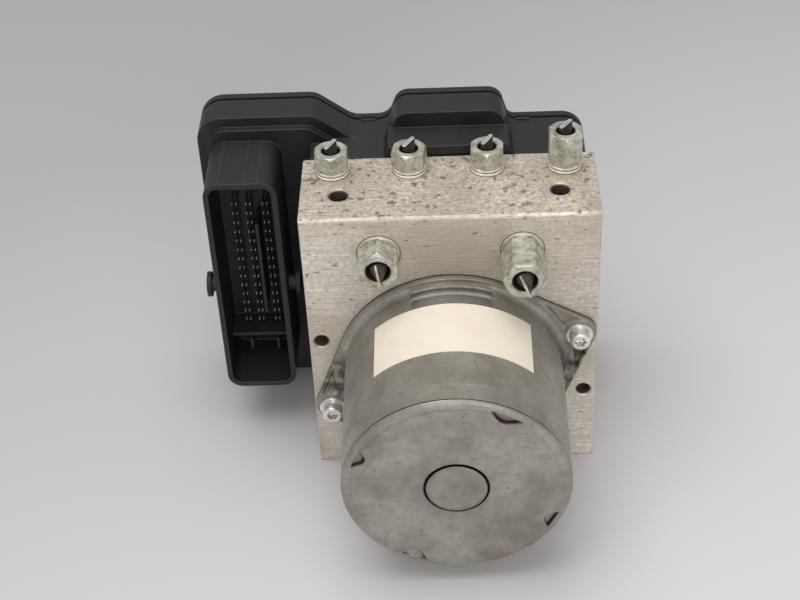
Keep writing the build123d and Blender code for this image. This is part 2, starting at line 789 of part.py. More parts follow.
for side, name in ((-1, "left"), (1, "right")):
    pump_axis = [(side * pump_y, motor_height)]
    with BuildPart() as pump_piston:
        tube(facing_side(side, side * piston_inner), pump_axis, pump_piston_length,
             pump_piston_radius)
        tip = pump_piston.edges().filter_by(GeomType.CIRCLE).sort_by(Axis.X, reverse=side < 0)[0]
        chamfer(tip, 0.6)
        bore(facing_side(side, side * piston_outer), pump_axis, 5.0, 1.6)
    pump_piston.part.label = f"pump_piston_{name}"
    export_step(pump_piston.part, f"parts/pump_piston_{name}.step")

    spring_room = plug_inner - piston_outer
    with BuildPart() as pump_spring:
        with Locations(Plane(origin=(side * (piston_outer + pump_spring_wire / 2 + 0.02), pump_y,
                                     motor_height), x_dir=(0, side, 0), z_dir=(side, 0, 0))):
            add(coil_spring(spring_room - 0.04, spring_radius, pump_spring_wire, 5))
    pump_spring.part.label = f"pump_spring_{name}"
    export_step(pump_spring.part, f"parts/pump_spring_{name}.step")

with BuildPart() as pump_sleeves:
    for side in (-1, 1):
        tube(facing_side(side, side * sleeve_inner), [(side * pump_y, motor_height)],
             plug_inner - sleeve_inner, pump_sleeve_radius, pump_piston_radius + running_gap)
pump_sleeves.part.label = "pump_sleeves"
export_step(pump_sleeves.part, "parts/pump_sleeves.step")

with BuildPart() as pump_plugs:
    for side in (-1, 1):
        tube(facing_side(side, side * plug_inner), [(side * pump_y, motor_height)],
             pump_plug_length - 0.5, pump_plug_radius)
        tube(facing_side(side, side * (block_width / 2 - 0.5)), [(side * pump_y, motor_height)],
             -2.0, pump_plug_radius - 2.5, mode=Mode.SUBTRACT)
pump_plugs.part.label = "pump_plugs"
export_step(pump_plugs.part, "parts/pump_plugs.step")

# ---------------------------------------------------------------- accumulators
accumulator_top = accumulator_depth
piston_top = accumulator_top - 0.1
piston_foot = piston_top - accumulator_piston_length
for side, name in ((-1, "left"), (1, "right")):
    place = [(side * accumulator_spread / 2, 0)]
    with BuildPart() as accumulator_piston:
        tube(Plane.XY.offset(piston_top), place, -accumulator_piston_length,
             accumulator_radius - running_gap)
        tube(Plane.XY.offset(piston_foot), place, accumulator_piston_length - 3.0,
             accumulator_radius - 2.5, mode=Mode.SUBTRACT)
        tube(Plane.XY.offset(piston_foot + 2.0), place, 2.4, accumulator_radius,
             accumulator_radius - 1.4, mode=Mode.SUBTRACT)
    accumulator_piston.part.label = f"accumulator_piston_{name}"
    export_step(accumulator_piston.part, f"parts/accumulator_piston_{name}.step")

    spring_foot = accumulator_cover
    spring_top = piston_foot + accumulator_piston_length - 3.0
    with BuildPart() as accumulator_spring:
        with Locations((side * accumulator_spread / 2, 0,
                        spring_foot + accumulator_spring_wire / 2 + 0.02)):
            add(coil_spring(spring_top - spring_foot - 0.04, accumulator_radius - 4.0,
                            accumulator_spring_wire, 4))
    accumulator_spring.part.label = f"accumulator_spring_{name}"
    export_step(accumulator_spring.part, f"parts/accumulator_spring_{name}.step")

    with BuildPart() as accumulator_seal:
        tube(Plane.XY.offset(piston_foot + 2.2), place, 2.0,
             accumulator_radius, accumulator_radius - 1.3)
    accumulator_seal.part.label = f"accumulator_seal_{name}"
    export_step(accumulator_seal.part, f"parts/accumulator_seal_{name}.step")

with BuildPart() as accumulator_covers:
    tube(Plane.XY.offset(0.3), accumulator_centres, accumulator_cover - 0.3,
         accumulator_radius)
accumulator_covers.part.label = "accumulator_covers"
export_step(accumulator_covers.part, "parts/accumulator_covers.step")

# ---------------------------------------------------------------- solenoid valves and sensor
coil_front = unit_front + unit_front_wall
dome_bore = dome_radius - dome_wall
plunger_front = rear - 3.0


def valve_body(x, z):
    """A cartridge pressed into the block, with the thin dome that its coil slides over."""
    tube(facing_front(rear), [(x, z)], valve_depth - 1.0, valve_radius)
    tube(facing_rear(rear), [(-x, z)], dome_reach, dome_radius)
    tube(facing_rear(plunger_front), [(-x, z)],
         dome_reach - dome_wall + rear - plunger_front, dome_bore, mode=Mode.SUBTRACT)
    tube(facing_rear(rear - valve_depth + 1.0), [(-x, z)], valve_depth, 0.8,
         mode=Mode.SUBTRACT)


def plunger(x, z):
    """The moving core inside a dome, resting on its valve seat."""
    tube(facing_rear(plunger_front), [(-x, z)], plunger_length, dome_bore - running_gap)


inlet_valves = [(x, valve_rows[1]) for x in valve_xs]
outlet_valves = [(x, valve_rows[0]) for x in valve_xs]
circuit_valves = [(x, valve_rows[2]) for x in valve_xs]

with BuildPart() as inlet_valve_bodies:
    for x, z in inlet_valves:
        valve_body(x, z)
inlet_valve_bodies.part.label = "inlet_valve_bodies"
export_step(inlet_valve_bodies.part, "parts/inlet_valve_bodies.step")

with BuildPart() as outlet_valve_bodies:
    for x, z in outlet_valves:
        valve_body(x, z)
outlet_valve_bodies.part.label = "outlet_valve_bodies"
export_step(outlet_valve_bodies.part, "parts/outlet_valve_bodies.step")

with BuildPart() as circuit_valve_bodies:
    for x, z in circuit_valves:
        valve_body(x, z)
circuit_valve_bodies.part.label = "circuit_valve_bodies"
export_step(circuit_valve_bodies.part, "parts/circuit_valve_bodies.step")

with BuildPart() as inlet_valve_plungers:
    for x, z in inlet_valves:
        plunger(x, z)
inlet_valve_plungers.part.label = "inlet_valve_plungers"
export_step(inlet_valve_plungers.part, "parts/inlet_valve_plungers.step")

with BuildPart() as outlet_valve_plungers:
    for x, z in outlet_valves:
        plunger(x, z)
outlet_valve_plungers.part.label = "outlet_valve_plungers"
export_step(outlet_valve_plungers.part, "parts/outlet_valve_plungers.step")

with BuildPart() as circuit_valve_plungers:
    for x, z in circuit_valves:
        plunger(x, z)
circuit_valve_plungers.part.label = "circuit_valve_plungers"
export_step(circuit_valve_plungers.part, "parts/circuit_valve_plungers.step")

with BuildPart() as valve_coils:
    with BuildSketch(facing_rear(coil_front)):
        with Locations(*[(-x, z) for x in valve_xs for z in valve_rows]):
            Rectangle(coil_side, coil_side)
            Circle(dome_radius + 0.1, mode=Mode.SUBTRACT)
    extrude(amount=coil_length)
valve_coils.part.label = "valve_coils"
export_step(valve_coils.part, "parts/valve_coils.step")

with BuildPart() as pressure_sensor:
    tube(facing_front(rear), [(0, sensor_height)], sensor_depth - 0.5, sensor_radius)
    tube(facing_rear(rear), [(0, sensor_height)], sensor_reach, sensor_radius - 0.4)
    tube(facing_rear(rear + sensor_reach), [(0, sensor_height)],
         board_front - rear - sensor_reach, sensor_stem_radius)
pressure_sensor.part.label = "pressure_sensor"
export_step(pressure_sensor.part, "parts/pressure_sensor.step")

# ---------------------------------------------------------------- control unit
cover_outline_points = [
    (-unit_left, unit_bottom), (-unit_left, unit_top), (-wing_top_right, unit_top),
    (bulge_slope - wing_top_right, unit_notch), (-bulge_left - 3.8, unit_notch),
    (-bulge_left, unit_top), (bulge_right, unit_top), (bulge_right + 3.3, unit_low_top),
    (unit_right, unit_low_top), (unit_right, unit_bottom),
]
cover_outline_radii = [8.0, 9.0, 7.0, 7.0, 5.5, 5.5, 5.5, 3.0, 8.0, 6.0]


def rounded_outline(points, radii):
    """A closed face from corner points with a rounding radius for each corner."""
    with BuildSketch() as face:
        with BuildLine():
            turns = [filleted_corner(points, radii, index) for index in range(len(points))]
            for index, (start, middle, end) in enumerate(turns):
                ThreePointArc(start, middle, end)
                Line(end, turns[(index + 1) % len(points)][0])
        make_face()
    return face.sketch


def filleted_corner(points, radii, index):
    """Start, middle and end of the arc that rounds one corner."""
    corner = Vector(*points[index])
    before = (Vector(*points[index - 1]) - corner).normalized()
    after = (Vector(*points[(index + 1) % len(points)]) - corner).normalized()
    half = math.radians(before.get_angle(after)) / 2
    radius = radii[index]
    reach = radius / math.tan(half)
    inward = (before + after).normalized()
    middle = corner + inward * (radius / math.sin(half) - radius)
    return corner + before * reach, middle, corner + after * reach


cover_outline = rounded_outline(cover_outline_points, cover_outline_radii)
body_outline = rounded_outline(
    [(-wing_right, unit_bottom), (-wing_right, unit_notch), (-ledge_left - 1.2, unit_notch),
     (-ledge_left, ledge_height), (ledge_right, ledge_height), (ledge_right + 1.2, unit_low_top),
     (unit_right, unit_low_top), (unit_right, unit_bottom)],
    [1.0, 1.0, 0.8, 1.5, 1.5, 0.8, 8.0, 6.0])
wing_outline = rounded_outline(
    [(-unit_left + wing_inset, unit_bottom + wing_inset),
     (-unit_left + wing_inset, unit_top - wing_inset), (-wing_right, unit_top - wing_inset),
     (8.7 - wing_right, unit_notch - 0.4), (8.7 - wing_right, unit_bottom + wing_inset)],
    [6.0, 6.5, 6.0, 0.6, 2.0])


def slab(outline, y, depth, inset=0.0, mode=Mode.ADD):
    """Extrude an outline to the rear from depth y, drawn in by inset."""
    with BuildSketch(facing_front(y)) as face:
        add(outline)
        if inset:
            offset(amount=-inset, kind=Kind.INTERSECTION)
    extrude(face.sketch, amount=-depth, mode=mode)


def shroud_section(y, depth, inset, mode):
    """The plug shroud's rounded section, from y to the rear."""
    with BuildSketch(facing_front(y)) as face:
        with Locations((shroud_middle, shroud_bottom + shroud_height / 2)):
            RectangleRounded(shroud_width - 2 * inset, shroud_height - 2 * inset,
                             shroud_corner - inset)
    extrude(face.sketch, amount=-depth, mode=mode)


tube_outer = screw_tube_bore + screw_tube_wall
screw_seat = coil_front + 3.2
stud_y = shroud_mouth + stud_from_mouth
with BuildPart() as ecu_housing:
    # body behind the block, rim behind it, and the wing that carries the plug shroud
    slab(body_outline, unit_front, rim_front - unit_front + 1)
    slab(cover_outline, rim_front, rim_depth)
    slab(wing_outline, wing_front, wing_ledge + 1)
    # room for the coils and the circuit board, open to the rear
    slab(body_outline, coil_front, seam - coil_front, unit_wall, Mode.SUBTRACT)
    slab(cover_outline, rim_front + unit_wall, rim_depth, unit_wall, Mode.SUBTRACT)
    # plug shroud, with its floor, its ribs and the two studs that the plug's lever turns on
    shroud_section(shroud_mouth, rim_front - shroud_mouth + 1, 0, Mode.ADD)
    with BuildSketch(facing_front(shroud_mouth + 1.2)) as ribs:
        with Locations(*[(place - shroud_left, shroud_bottom + shroud_height)
                         for place in shroud_top_ribs]):
            Rectangle(shroud_rib_width, 2 * shroud_rib_height)
        with Locations(*[(place - shroud_left, shroud_bottom)
                         for place in shroud_bottom_ribs]):
            Rectangle(shroud_rib_width, 2 * shroud_rib_height)
    extrude(ribs.sketch, amount=-(wing_front - shroud_mouth))
    for side in (-1, 1):
        wall_x = shroud_middle + side * shroud_width / 2
        tube(facing_side(side, wall_x - side), [(side * stud_y, stud_height)], stud_length + 1,
             stud_radius)
        tube(facing_side(side, wall_x + side * (stud_length - stud_head)),
             [(side * stud_y, stud_height)], stud_head, stud_head_radius)
    shroud_section(shroud_mouth, shroud_cavity_depth, shroud_wall, Mode.SUBTRACT)
    # webs across the shroud above and below the pins, and the keying rib between the pins
    web_front = shroud_floor_front - web_depth
    inner_width = shroud_width - 2 * shroud_wall
    with BuildSketch(facing_front(web_front)) as webs:
        with Locations((shroud_middle, shroud_bottom + web_low),
                       (shroud_middle, shroud_bottom + web_high)):
            Rectangle(inner_width + 0.4, web_thickness)
        with Locations((key_rib_place - shroud_left, shroud_bottom + key_rib_middle)):
            Rectangle(key_rib_width, key_rib_length)
        with Locations((shroud_middle, shroud_bottom + (web_high + shroud_height) / 2)):
            Rectangle(key_rib_width, shroud_height - web_high)
    extrude(webs.sketch, amount=-(web_depth + 0.5))
    # screw tubes, with a shoulder that the circuit board rests on
    tube(facing_rear(coil_front - 0.5), [(-x, z) for x, z in unit_screw_places],
         board_front - coil_front + 0.5, tube_outer + screw_tube_shoulder)
    tube(facing_rear(board_front), [(-x, z) for x, z in unit_screw_places],
         seam - board_front, tube_outer)
    bore(facing_rear(seam), [(-x, z) for x, z in unit_screw_places], seam - screw_seat,
         screw_tube_bore)
    bore(facing_rear(seam), [(-x, z) for x, z in unit_screw_places], seam - unit_front,
         unit_screw_radius + 0.2)
    # openings in the front wall for the valve domes, the sensor and the motor lead
    bore(facing_rear(coil_front), [(-x, z) for x in valve_xs for z in valve_rows],
         unit_front_wall, dome_radius + 0.6)
    bore(facing_rear(coil_front), [(0, sensor_height)], unit_front_wall, sensor_radius + 0.2)
    bore(facing_rear(coil_front), [(0, lead_height)], unit_front_wall, lead_hole_radius)
ecu_housing.part.label = "ecu_housing"
export_step(ecu_housing.part, "parts/ecu_housing.step")

with BuildPart() as ecu_cover:
    slab(cover_outline, seam, seam_width + 1, seam_depth)
    slab(cover_outline, seam + seam_width, cover_thickness - seam_width)
    back_edges = ecu_cover.faces().sort_by(Axis.Y)[-1].outer_wire().edges()
    fillet(back_edges, cover_round)
    slab(cover_outline, seam, cover_thickness - cover_skin, unit_wall, Mode.SUBTRACT)
    for x, z in unit_screw_places:
        tube(facing_rear(seam), [(-x, z)], cover_thickness - cover_skin + 0.5, tube_outer + 0.2)
    bore(facing_rear(cover_rear), [(-x, z) for x, z in unit_screw_places], cover_thickness,
         screw_tube_bore)
    # small tabs that reach over the seam
    for place, height in zip(seam_tab_places, (unit_notch, unit_low_top)):
        with BuildSketch(facing_rear(seam - 1.2)) as tab:
            with Locations((-place, height + seam_tab_height / 2)):
                Rectangle(seam_tab_length, seam_tab_height)
        extrude(tab.sketch, amount=1.2)
        with BuildSketch(facing_rear(seam)) as tab_root:
            with Locations((-place, height + seam_tab_height / 2 - seam_depth)):
                Rectangle(seam_tab_length, seam_tab_height + 2 * seam_depth)
        extrude(tab_root.sketch, amount=seam_width + 0.6)
ecu_cover.part.label = "ecu_cover"
export_step(ecu_cover.part, "parts/ecu_cover.step")

with BuildPart() as ecu_seal:
    with BuildSketch(facing_rear(rear)):
        with Locations((0, (unit_low_top + unit_bottom) / 2)):
            RectangleRounded(block_width - 8, unit_low_top - unit_bottom - 4, 5)
            RectangleRounded(block_width - 8 - 2 * seal_width,
                             unit_low_top - unit_bottom - 4 - 2 * seal_width, 3,
                             mode=Mode.SUBTRACT)
    extrude(amount=seal_thickness)
    with BuildSketch(facing_rear(rear)) as corners:
        with Locations(*[(-x, z) for x, z in unit_screw_places]):
            Circle(unit_screw_radius + 0.3)
    extrude(corners.sketch, amount=seal_thickness, mode=Mode.SUBTRACT)
ecu_seal.part.label = "ecu_seal"
export_step(ecu_seal.part, "parts/ecu_seal.step")

with BuildPart() as ecu_screws:
    places = [(-x, z) for x, z in unit_screw_places]
    tube(facing_rear(screw_seat), places, unit_screw_head, unit_screw_head_radius)
    with BuildSketch(facing_rear(screw_seat + unit_screw_head)) as sockets:
        with Locations(*places):
            RegularPolygon(1.9, 6)
    extrude(sockets.sketch, amount=-1.8, mode=Mode.SUBTRACT)
    tube(facing_rear(screw_seat), places, -(screw_seat - rear + unit_screw_depth - 1.0),
         unit_screw_radius - thread_gap)
ecu_screws.part.label = "ecu_screws"
export_step(ecu_screws.part, "parts/ecu_screws.step")

board_gap = 1.0
with BuildPart() as circuit_board:
    slab(cover_outline, board_front, board_thickness, unit_wall + board_gap)
    tube(facing_rear(board_front), [(-x, z) for x, z in unit_screw_places], board_thickness,
         tube_outer + 0.15, mode=Mode.SUBTRACT)
circuit_board.part.label = "circuit_board"
export_step(circuit_board.part, "parts/circuit_board.step")

pin_tip = shroud_floor_front - pin_reach
with BuildPart() as signal_pins:
    with BuildSketch(facing_rear(pin_tip)):
        with Locations(*[(-column - twin * pin_twin_step, pin_low_row + row * pin_pitch)
                         for column in pin_columns for twin in (0, 1)
                         for row in range(pin_rows)]):
            Rectangle(pin_side, pin_side)
    extrude(amount=board_front - pin_tip)
signal_pins.part.label = "signal_pins"
export_step(signal_pins.part, "parts/signal_pins.step")

with BuildPart() as power_pins:
    with BuildSketch(facing_rear(pin_tip)):
        with Locations((-pin_columns[0] - 1.0, blade_height), (-pin_columns[2], blade_height)):
            Rectangle(blade_thickness, blade_width)
    extrude(amount=board_front - pin_tip)
power_pins.part.label = "power_pins"
export_step(power_pins.part, "parts/power_pins.step")
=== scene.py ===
# %% [markdown]
# # A car's brake control module
#
# The part is a bare aluminium valve block. A steel can with the pump motor in it is screwed to the
# front, a black plastic control unit with a long plug shroud covers the back, and six tube nuts
# still hold the cut and pinched ends of the brake pipes.
#
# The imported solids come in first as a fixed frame, and everything made here sits on them. Blender
# works in metres, while lengths are written here in millimetres and scaled by MM.

# %% Load the frame
import json
import math

import bmesh
import bpy
from mathutils import Matrix, Vector


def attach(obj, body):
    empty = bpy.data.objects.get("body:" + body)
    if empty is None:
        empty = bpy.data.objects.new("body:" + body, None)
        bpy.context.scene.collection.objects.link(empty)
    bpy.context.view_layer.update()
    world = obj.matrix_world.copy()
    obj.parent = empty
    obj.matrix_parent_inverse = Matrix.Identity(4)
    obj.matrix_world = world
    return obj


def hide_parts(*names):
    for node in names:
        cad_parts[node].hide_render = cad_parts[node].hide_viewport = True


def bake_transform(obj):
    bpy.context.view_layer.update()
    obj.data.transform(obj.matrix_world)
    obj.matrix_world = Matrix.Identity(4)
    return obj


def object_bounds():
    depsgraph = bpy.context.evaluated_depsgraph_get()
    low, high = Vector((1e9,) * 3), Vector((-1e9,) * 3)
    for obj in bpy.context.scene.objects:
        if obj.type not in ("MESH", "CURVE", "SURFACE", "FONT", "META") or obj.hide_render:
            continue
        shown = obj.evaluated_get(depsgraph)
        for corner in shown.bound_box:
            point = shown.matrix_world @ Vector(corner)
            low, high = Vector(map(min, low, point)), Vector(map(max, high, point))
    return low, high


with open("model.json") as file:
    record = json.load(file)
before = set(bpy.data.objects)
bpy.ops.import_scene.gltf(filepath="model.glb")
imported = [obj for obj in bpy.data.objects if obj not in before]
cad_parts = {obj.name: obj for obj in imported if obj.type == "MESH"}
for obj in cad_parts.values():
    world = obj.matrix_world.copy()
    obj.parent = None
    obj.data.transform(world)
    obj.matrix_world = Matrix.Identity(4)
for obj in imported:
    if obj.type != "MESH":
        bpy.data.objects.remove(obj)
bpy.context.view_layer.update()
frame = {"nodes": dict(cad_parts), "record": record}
MM = 0.001
print("frame loaded:", len(frame["nodes"]), "nodes")


# %% [markdown]
# ## Where things sit
#
# The block's faces, the motor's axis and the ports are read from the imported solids' boxes, so the
# pieces made here land on the solids that they stand for. The four outlets are evenly spaced, so
# the last one gives them all.

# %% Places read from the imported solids, in millimetres
def box_of(node):
    """Lowest corner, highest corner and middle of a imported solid."""
    corners = [Vector(corner) / MM for corner in frame["nodes"][node].bound_box]
    low, high = (Vector([pick(corner[i] for corner in corners) for i in range(3)])
                 for pick in (min, max))
    return low, high, (low + high) / 2


def rounded(value):
    """A length to a thousandth of a millimetre, because a box carries small rounding errors."""
    return round(value, 3)


block_low, block_high, _ = box_of("valve_block")
BLOCK_FRONT, BLOCK_TOP = rounded(block_low.y), rounded(block_high.z)
MOTOR_HEIGHT = rounded(box_of("motor_end_plate")[2].z)
last_outlet = box_of("long_outlet_nut")[2]
OUTLET_Y = rounded(last_outlet.y)
OUTLET_XS = [rounded(last_outlet.x * (place - 1.5) / 1.5) for place in range(4)]
INLETS = [(rounded(middle.x), rounded(middle.z)) for middle in
          (box_of("short_inlet_nut")[2], box_of("long_inlet_nut")[2])]
print("block front and top:", BLOCK_FRONT, BLOCK_TOP, "motor axis:", MOTOR_HEIGHT,
      "outlets:", OUTLET_XS, OUTLET_Y, "inlets:", INLETS)

# %% [markdown]
# ## Camera and light
#
# The camera stands high in front of the module and looks down on it by 39 degrees, with a slight
# tilt. The light is one broad soft lamp overhead, a little to the left, with a weaker one in front,
# as in a small light tent, so that faces that look up are brighter than those that look forward.

# %% Camera
EYE = (1.67, -454.21, 427.81)
yaw, pitch, roll = math.radians(-2.536), math.radians(38.932), math.radians(3.136)
camera = bpy.data.objects.new("camera", bpy.data.cameras.new("camera"))
camera.data.sensor_width = 36.0
camera.data.lens = 74.13
camera.matrix_world = (
    Matrix.Translation(Vector(EYE) * MM)
    @ Matrix.Rotation(-yaw, 4, "Z")
    @ Matrix.Rotation(math.pi / 2 - pitch, 4, "X")
    @ Matrix.Rotation(-roll, 4, "Z"))
bpy.context.collection.objects.link(camera)
scene = bpy.context.scene
scene.camera = camera
scene.view_settings.view_transform = "Standard"
print("camera: lens", round(camera.data.lens, 1), "mm, looks down",
      round(math.degrees(pitch), 1), "degrees")


# %% Lamps and sky
LAMP_TARGET = Vector((0, 0, 0.05))
SKY_GREY, SKY_STRENGTH = 0.82, 0.55


def soft_lamp(name, place, width, watts):
    """A square area lamp at place, in metres, that points at the module."""
    lamp = bpy.data.objects.new(name, bpy.data.lights.new(name, "AREA"))
    lamp.data.size = width
    lamp.data.energy = watts
    lamp.location = place
    lamp.rotation_euler = (LAMP_TARGET - Vector(place)).to_track_quat("-Z", "Y").to_euler()
    bpy.context.collection.objects.link(lamp)


soft_lamp("overhead_lamp", (-0.13, -0.05, 0.94), width=0.75, watts=6.5)
soft_lamp("front_lamp", (0.12, -0.92, 0.48), width=0.7, watts=5.1)
world = bpy.data.worlds.new("studio")
scene.world = world
world.use_nodes = True
sky = world.node_tree.nodes["Background"].inputs
sky["Color"].default_value = (SKY_GREY, SKY_GREY, SKY_GREY, 1)
sky["Strength"].default_value = SKY_STRENGTH
print("lamps:", [lamp.name for lamp in bpy.data.lights])

# %% [markdown]
# ## Shader building blocks
#
# Almost every finish here is one base colour with patches of another, plus a fine bump. The same
# small groups make both, each with its own values: `patches` gives a mask of irregular spots,
# `streaks` the same drawn out along one direction, and `grain` a bump from fine noise. They read
# object coordinates, so a pattern stays on its piece. Machined and moulded edges are slightly
# round: modelling that would cost many faces, so a Bevel node inside `grain` rounds the shading.

# %% Node helpers
def colour(red, green, blue):
    """A colour given in screen values from 0 to 255, as the linear values that Blender keeps."""
    parts = [value / 255 for value in (red, green, blue)]
    return tuple(v / 12.92 if v <= 0.04045 else ((v + 0.055) / 1.055) ** 2.4
                 for v in parts) + (1.0,)


def add_node(tree, kind, inputs=None, **settings):
    """Add a node, set its properties, and give its sockets values or links."""
    made = tree.nodes.new(kind)
    for key, value in settings.items():
        setattr(made, key, value)
    for key, value in (inputs or {}).items():
        if isinstance(value, bpy.types.NodeSocket):
            tree.links.new(value, made.inputs[key])
        else:
            made.inputs[key].default_value = value
    return made


def new_group(name, inputs, outputs):
    """An empty shader group with named sockets: {name: (socket type, default value)}."""
    group = bpy.data.node_groups.new(name, "ShaderNodeTree")
    for key, (kind, value) in inputs.items():
        socket = group.interface.new_socket(key, in_out="INPUT", socket_type=kind)
        if value is not None:
            socket.default_value = value
    for key, kind in outputs.items():
        group.interface.new_socket(key, in_out="OUTPUT", socket_type=kind)
    print("shader group", name, "takes", list(inputs))
    return group, add_node(group, "NodeGroupInput").outputs, add_node(group, "NodeGroupOutput")


def calc(tree, operation, *values):
    """One sum, product or the like of two sockets or numbers."""
    return add_node(tree, "ShaderNodeMath", dict(enumerate(values)),
                    operation=operation).outputs[0]


FLOAT, VECTOR = "NodeSocketFloat", "NodeSocketVector"
PER_METRE = 1 / MM  # divided by a size in millimetres, it gives the scale of a noise
print("middle grey as Blender keeps it:", colour(128, 128, 128)[:3])

# %% Group: irregular patches
patches, given, out = new_group(
    "patches", {"Vector": (VECTOR, None), "Size": (FLOAT, 1.0), "Low": (FLOAT, 0.5),
                "High": (FLOAT, 0.6)}, {"Mask": FLOAT})
noise = add_node(patches, "ShaderNodeTexNoise",
                 {"Vector": given["Vector"],
                  "Scale": calc(patches, "DIVIDE", PER_METRE, given["Size"]),
                  "Detail": 5.0, "Roughness": 0.62})
mask = add_node(patches, "ShaderNodeMapRange",
                {"Value": noise.outputs["Fac"], "From Min": given["Low"],
                 "From Max": given["High"]})
patches.links.new(mask.outputs["Result"], out.inputs["Mask"])

# %% Group: streaks along one direction
streaks, given, out = new_group(
    "streaks", {"Vector": (VECTOR, None), "Stretch": (VECTOR, (0.05, 1.0, 1.0)),
                "Size": (FLOAT, 0.4), "Low": (FLOAT, 0.35), "High": (FLOAT, 0.7)},
    {"Mask": FLOAT})
drawn = add_node(streaks, "ShaderNodeVectorMath",
                 {0: given["Vector"], 1: given["Stretch"]}, operation="MULTIPLY")
noise = add_node(streaks, "ShaderNodeTexNoise",
                 {"Vector": drawn.outputs[0],
                  "Scale": calc(streaks, "DIVIDE", PER_METRE, given["Size"]), "Detail": 4.0})
mask = add_node(streaks, "ShaderNodeMapRange",
                {"Value": noise.outputs["Fac"], "From Min": given["Low"],
                 "From Max": given["High"]})
streaks.links.new(mask.outputs["Result"], out.inputs["Mask"])

# %% Group: fine grain as a bump, over edges that are rounded in the shading alone
grain, given, out = new_group(
    "grain", {"Vector": (VECTOR, None), "Size": (FLOAT, 0.3), "Depth": (FLOAT, 0.2),
              "Height": (FLOAT, 0.0), "Round": (FLOAT, 0.0)}, {"Normal": VECTOR})
noise = add_node(grain, "ShaderNodeTexNoise",
                 {"Vector": given["Vector"],
                  "Scale": calc(grain, "DIVIDE", PER_METRE, given["Size"]), "Detail": 3.0})
edges = add_node(grain, "ShaderNodeBevel", {"Radius": given["Round"]}, samples=6)
bump = add_node(grain, "ShaderNodeBump",
                {"Strength": given["Depth"], "Distance": 0.2 * MM,
                 "Height": calc(grain, "ADD", noise.outputs["Fac"], given["Height"]),
                 "Normal": edges.outputs["Normal"]})
grain.links.new(bump.outputs["Normal"], out.inputs["Normal"])


# %% Materials from the groups
def use(tree, group, **inputs):
    """Put a shader group into a material with these values."""
    return add_node(tree, "ShaderNodeGroup", inputs, node_tree=group).outputs[0]


def mix(tree, mask, first, second):
    """Mix two colours or two values by a mask. The node keeps a set of sockets for each kind."""
    is_colour = any(isinstance(value, tuple) or getattr(value, "type", "") == "RGBA"
                    for value in (first, second))
    low, high, result = (6, 7, 2) if is_colour else (2, 3, 0)
    made = add_node(tree, "ShaderNodeMix", data_type="RGBA" if is_colour else "FLOAT")
    for socket, value in ((0, mask), (low, first), (high, second)):
        if isinstance(value, bpy.types.NodeSocket):
            tree.links.new(value, made.inputs[socket])
        else:
            made.inputs[socket].default_value = value
    return made.outputs[result]


def partly(tree, mask, amount):
    """The same mask at a share of its strength."""
    return mix(tree, mask, 0.0, amount)


def finish(name, metallic=0.0, **constants):
    """A material with a plain shader and the object coordinates to build on.

    Constants are the shader's own inputs, with underscores for spaces.
    """
    material = bpy.data.materials.new(name)
    material.use_nodes = True
    tree = material.node_tree
    shader = tree.nodes["Principled BSDF"]
    shader.inputs["Metallic"].default_value = metallic
    for key, value in constants.items():
        shader.inputs[key.replace("_", " ")].default_value = value
    return material, tree, shader, add_node(tree, "ShaderNodeTexCoord").outputs["Object"]


def wire(shader, **sockets):
    """Link these sockets into the shader's inputs, with underscores for spaces."""
    for key, value in sockets.items():
        shader.id_data.links.new(value, shader.inputs[key.replace("_", " ")])


# %% Masks for one place on a piece
def ramp(tree, value, start, end):
    """0 at start, 1 at end, and an even slope between."""
    return add_node(tree, "ShaderNodeMapRange",
                    {"Value": value, "From Min": start, "From Max": end}).outputs["Result"]


def distance(tree, where, centre):
    """How far a point is from a place given in millimetres."""
    return add_node(tree, "ShaderNodeVectorMath", {0: where, 1: Vector(centre) * MM},
                    operation="DISTANCE").outputs["Value"]


def near(tree, value, centre, full, none):
    """1 where a value in metres is within full of centre, falling to 0 at none, all in mm."""
    away = calc(tree, "ABSOLUTE", calc(tree, "SUBTRACT", value, centre * MM))
    return ramp(tree, away, none * MM, full * MM)


def spot(tree, where, centre, full, none):
    """A soft round spot about centre."""
    return near(tree, distance(tree, where, centre), 0.0, full, none)


def normal_up(tree):
    """How far the surface looks up, 1 on a top face and 0 on a wall, and the normal itself."""
    facing = add_node(tree, "ShaderNodeNewGeometry").outputs["Normal"]
    return add_node(tree, "ShaderNodeSeparateXYZ", {0: facing}).outputs["Z"], facing


def coordinates_of(material):
    """The object coordinates that a finished material already reads."""
    return next(node for node in material.node_tree.nodes
                if node.bl_idname == "ShaderNodeTexCoord").outputs["Object"]


def stain(material, mask, tint, amount=1.0):
    """Mix a stain into a finished material where the mask is 1."""
    tree = material.node_tree
    shader = tree.nodes["Principled BSDF"]
    now = shader.inputs["Base Color"].links[0].from_socket
    wire(shader, Base_Color=mix(tree, partly(tree, mask, amount), now, tint))


# %% [markdown]
# ## Machined aluminium
#
# The block was sawn and milled from extruded bar, and never coated. Its front shows faint lines
# that run across, and its top, where water stood, is pitted with small brown-grey spots. Two
# materials could do it, but the faces meet at one edge of one solid, so whether a point lies on the
# top or on the front is read from the surface normal. Two corners of the front are lighter with
# painted light, the upper middle of the front between the nuts is darker with painted shade, and a
# painted shadow line marks where each nut meets the block. These are masks about one place.

# %% Places on the block with painted light, painted shade and painted shadow lines
# radii of the ports' painted shadow lines, and the lines' half width
OUTLET_RIM, INLET_RIM, RIM_LINE = 5.8, 7.35, 0.22
PORTS = ([((x, OUTLET_Y, BLOCK_TOP), OUTLET_RIM) for x in OUTLET_XS]
         + [((x, BLOCK_FRONT, z), INLET_RIM) for x, z in INLETS])
# painted light about two corners of the front, and painted shade on its upper middle
# centre, radius of the full effect, radius where it ends
PAINTED_LIGHT_CORNERS = [((48, BLOCK_FRONT, 6), 16, 46), ((-46, BLOCK_FRONT, 90), 10, 34)]
PAINTED_SHADE_MIDDLE = ((0, BLOCK_FRONT, 94), 6, 24)


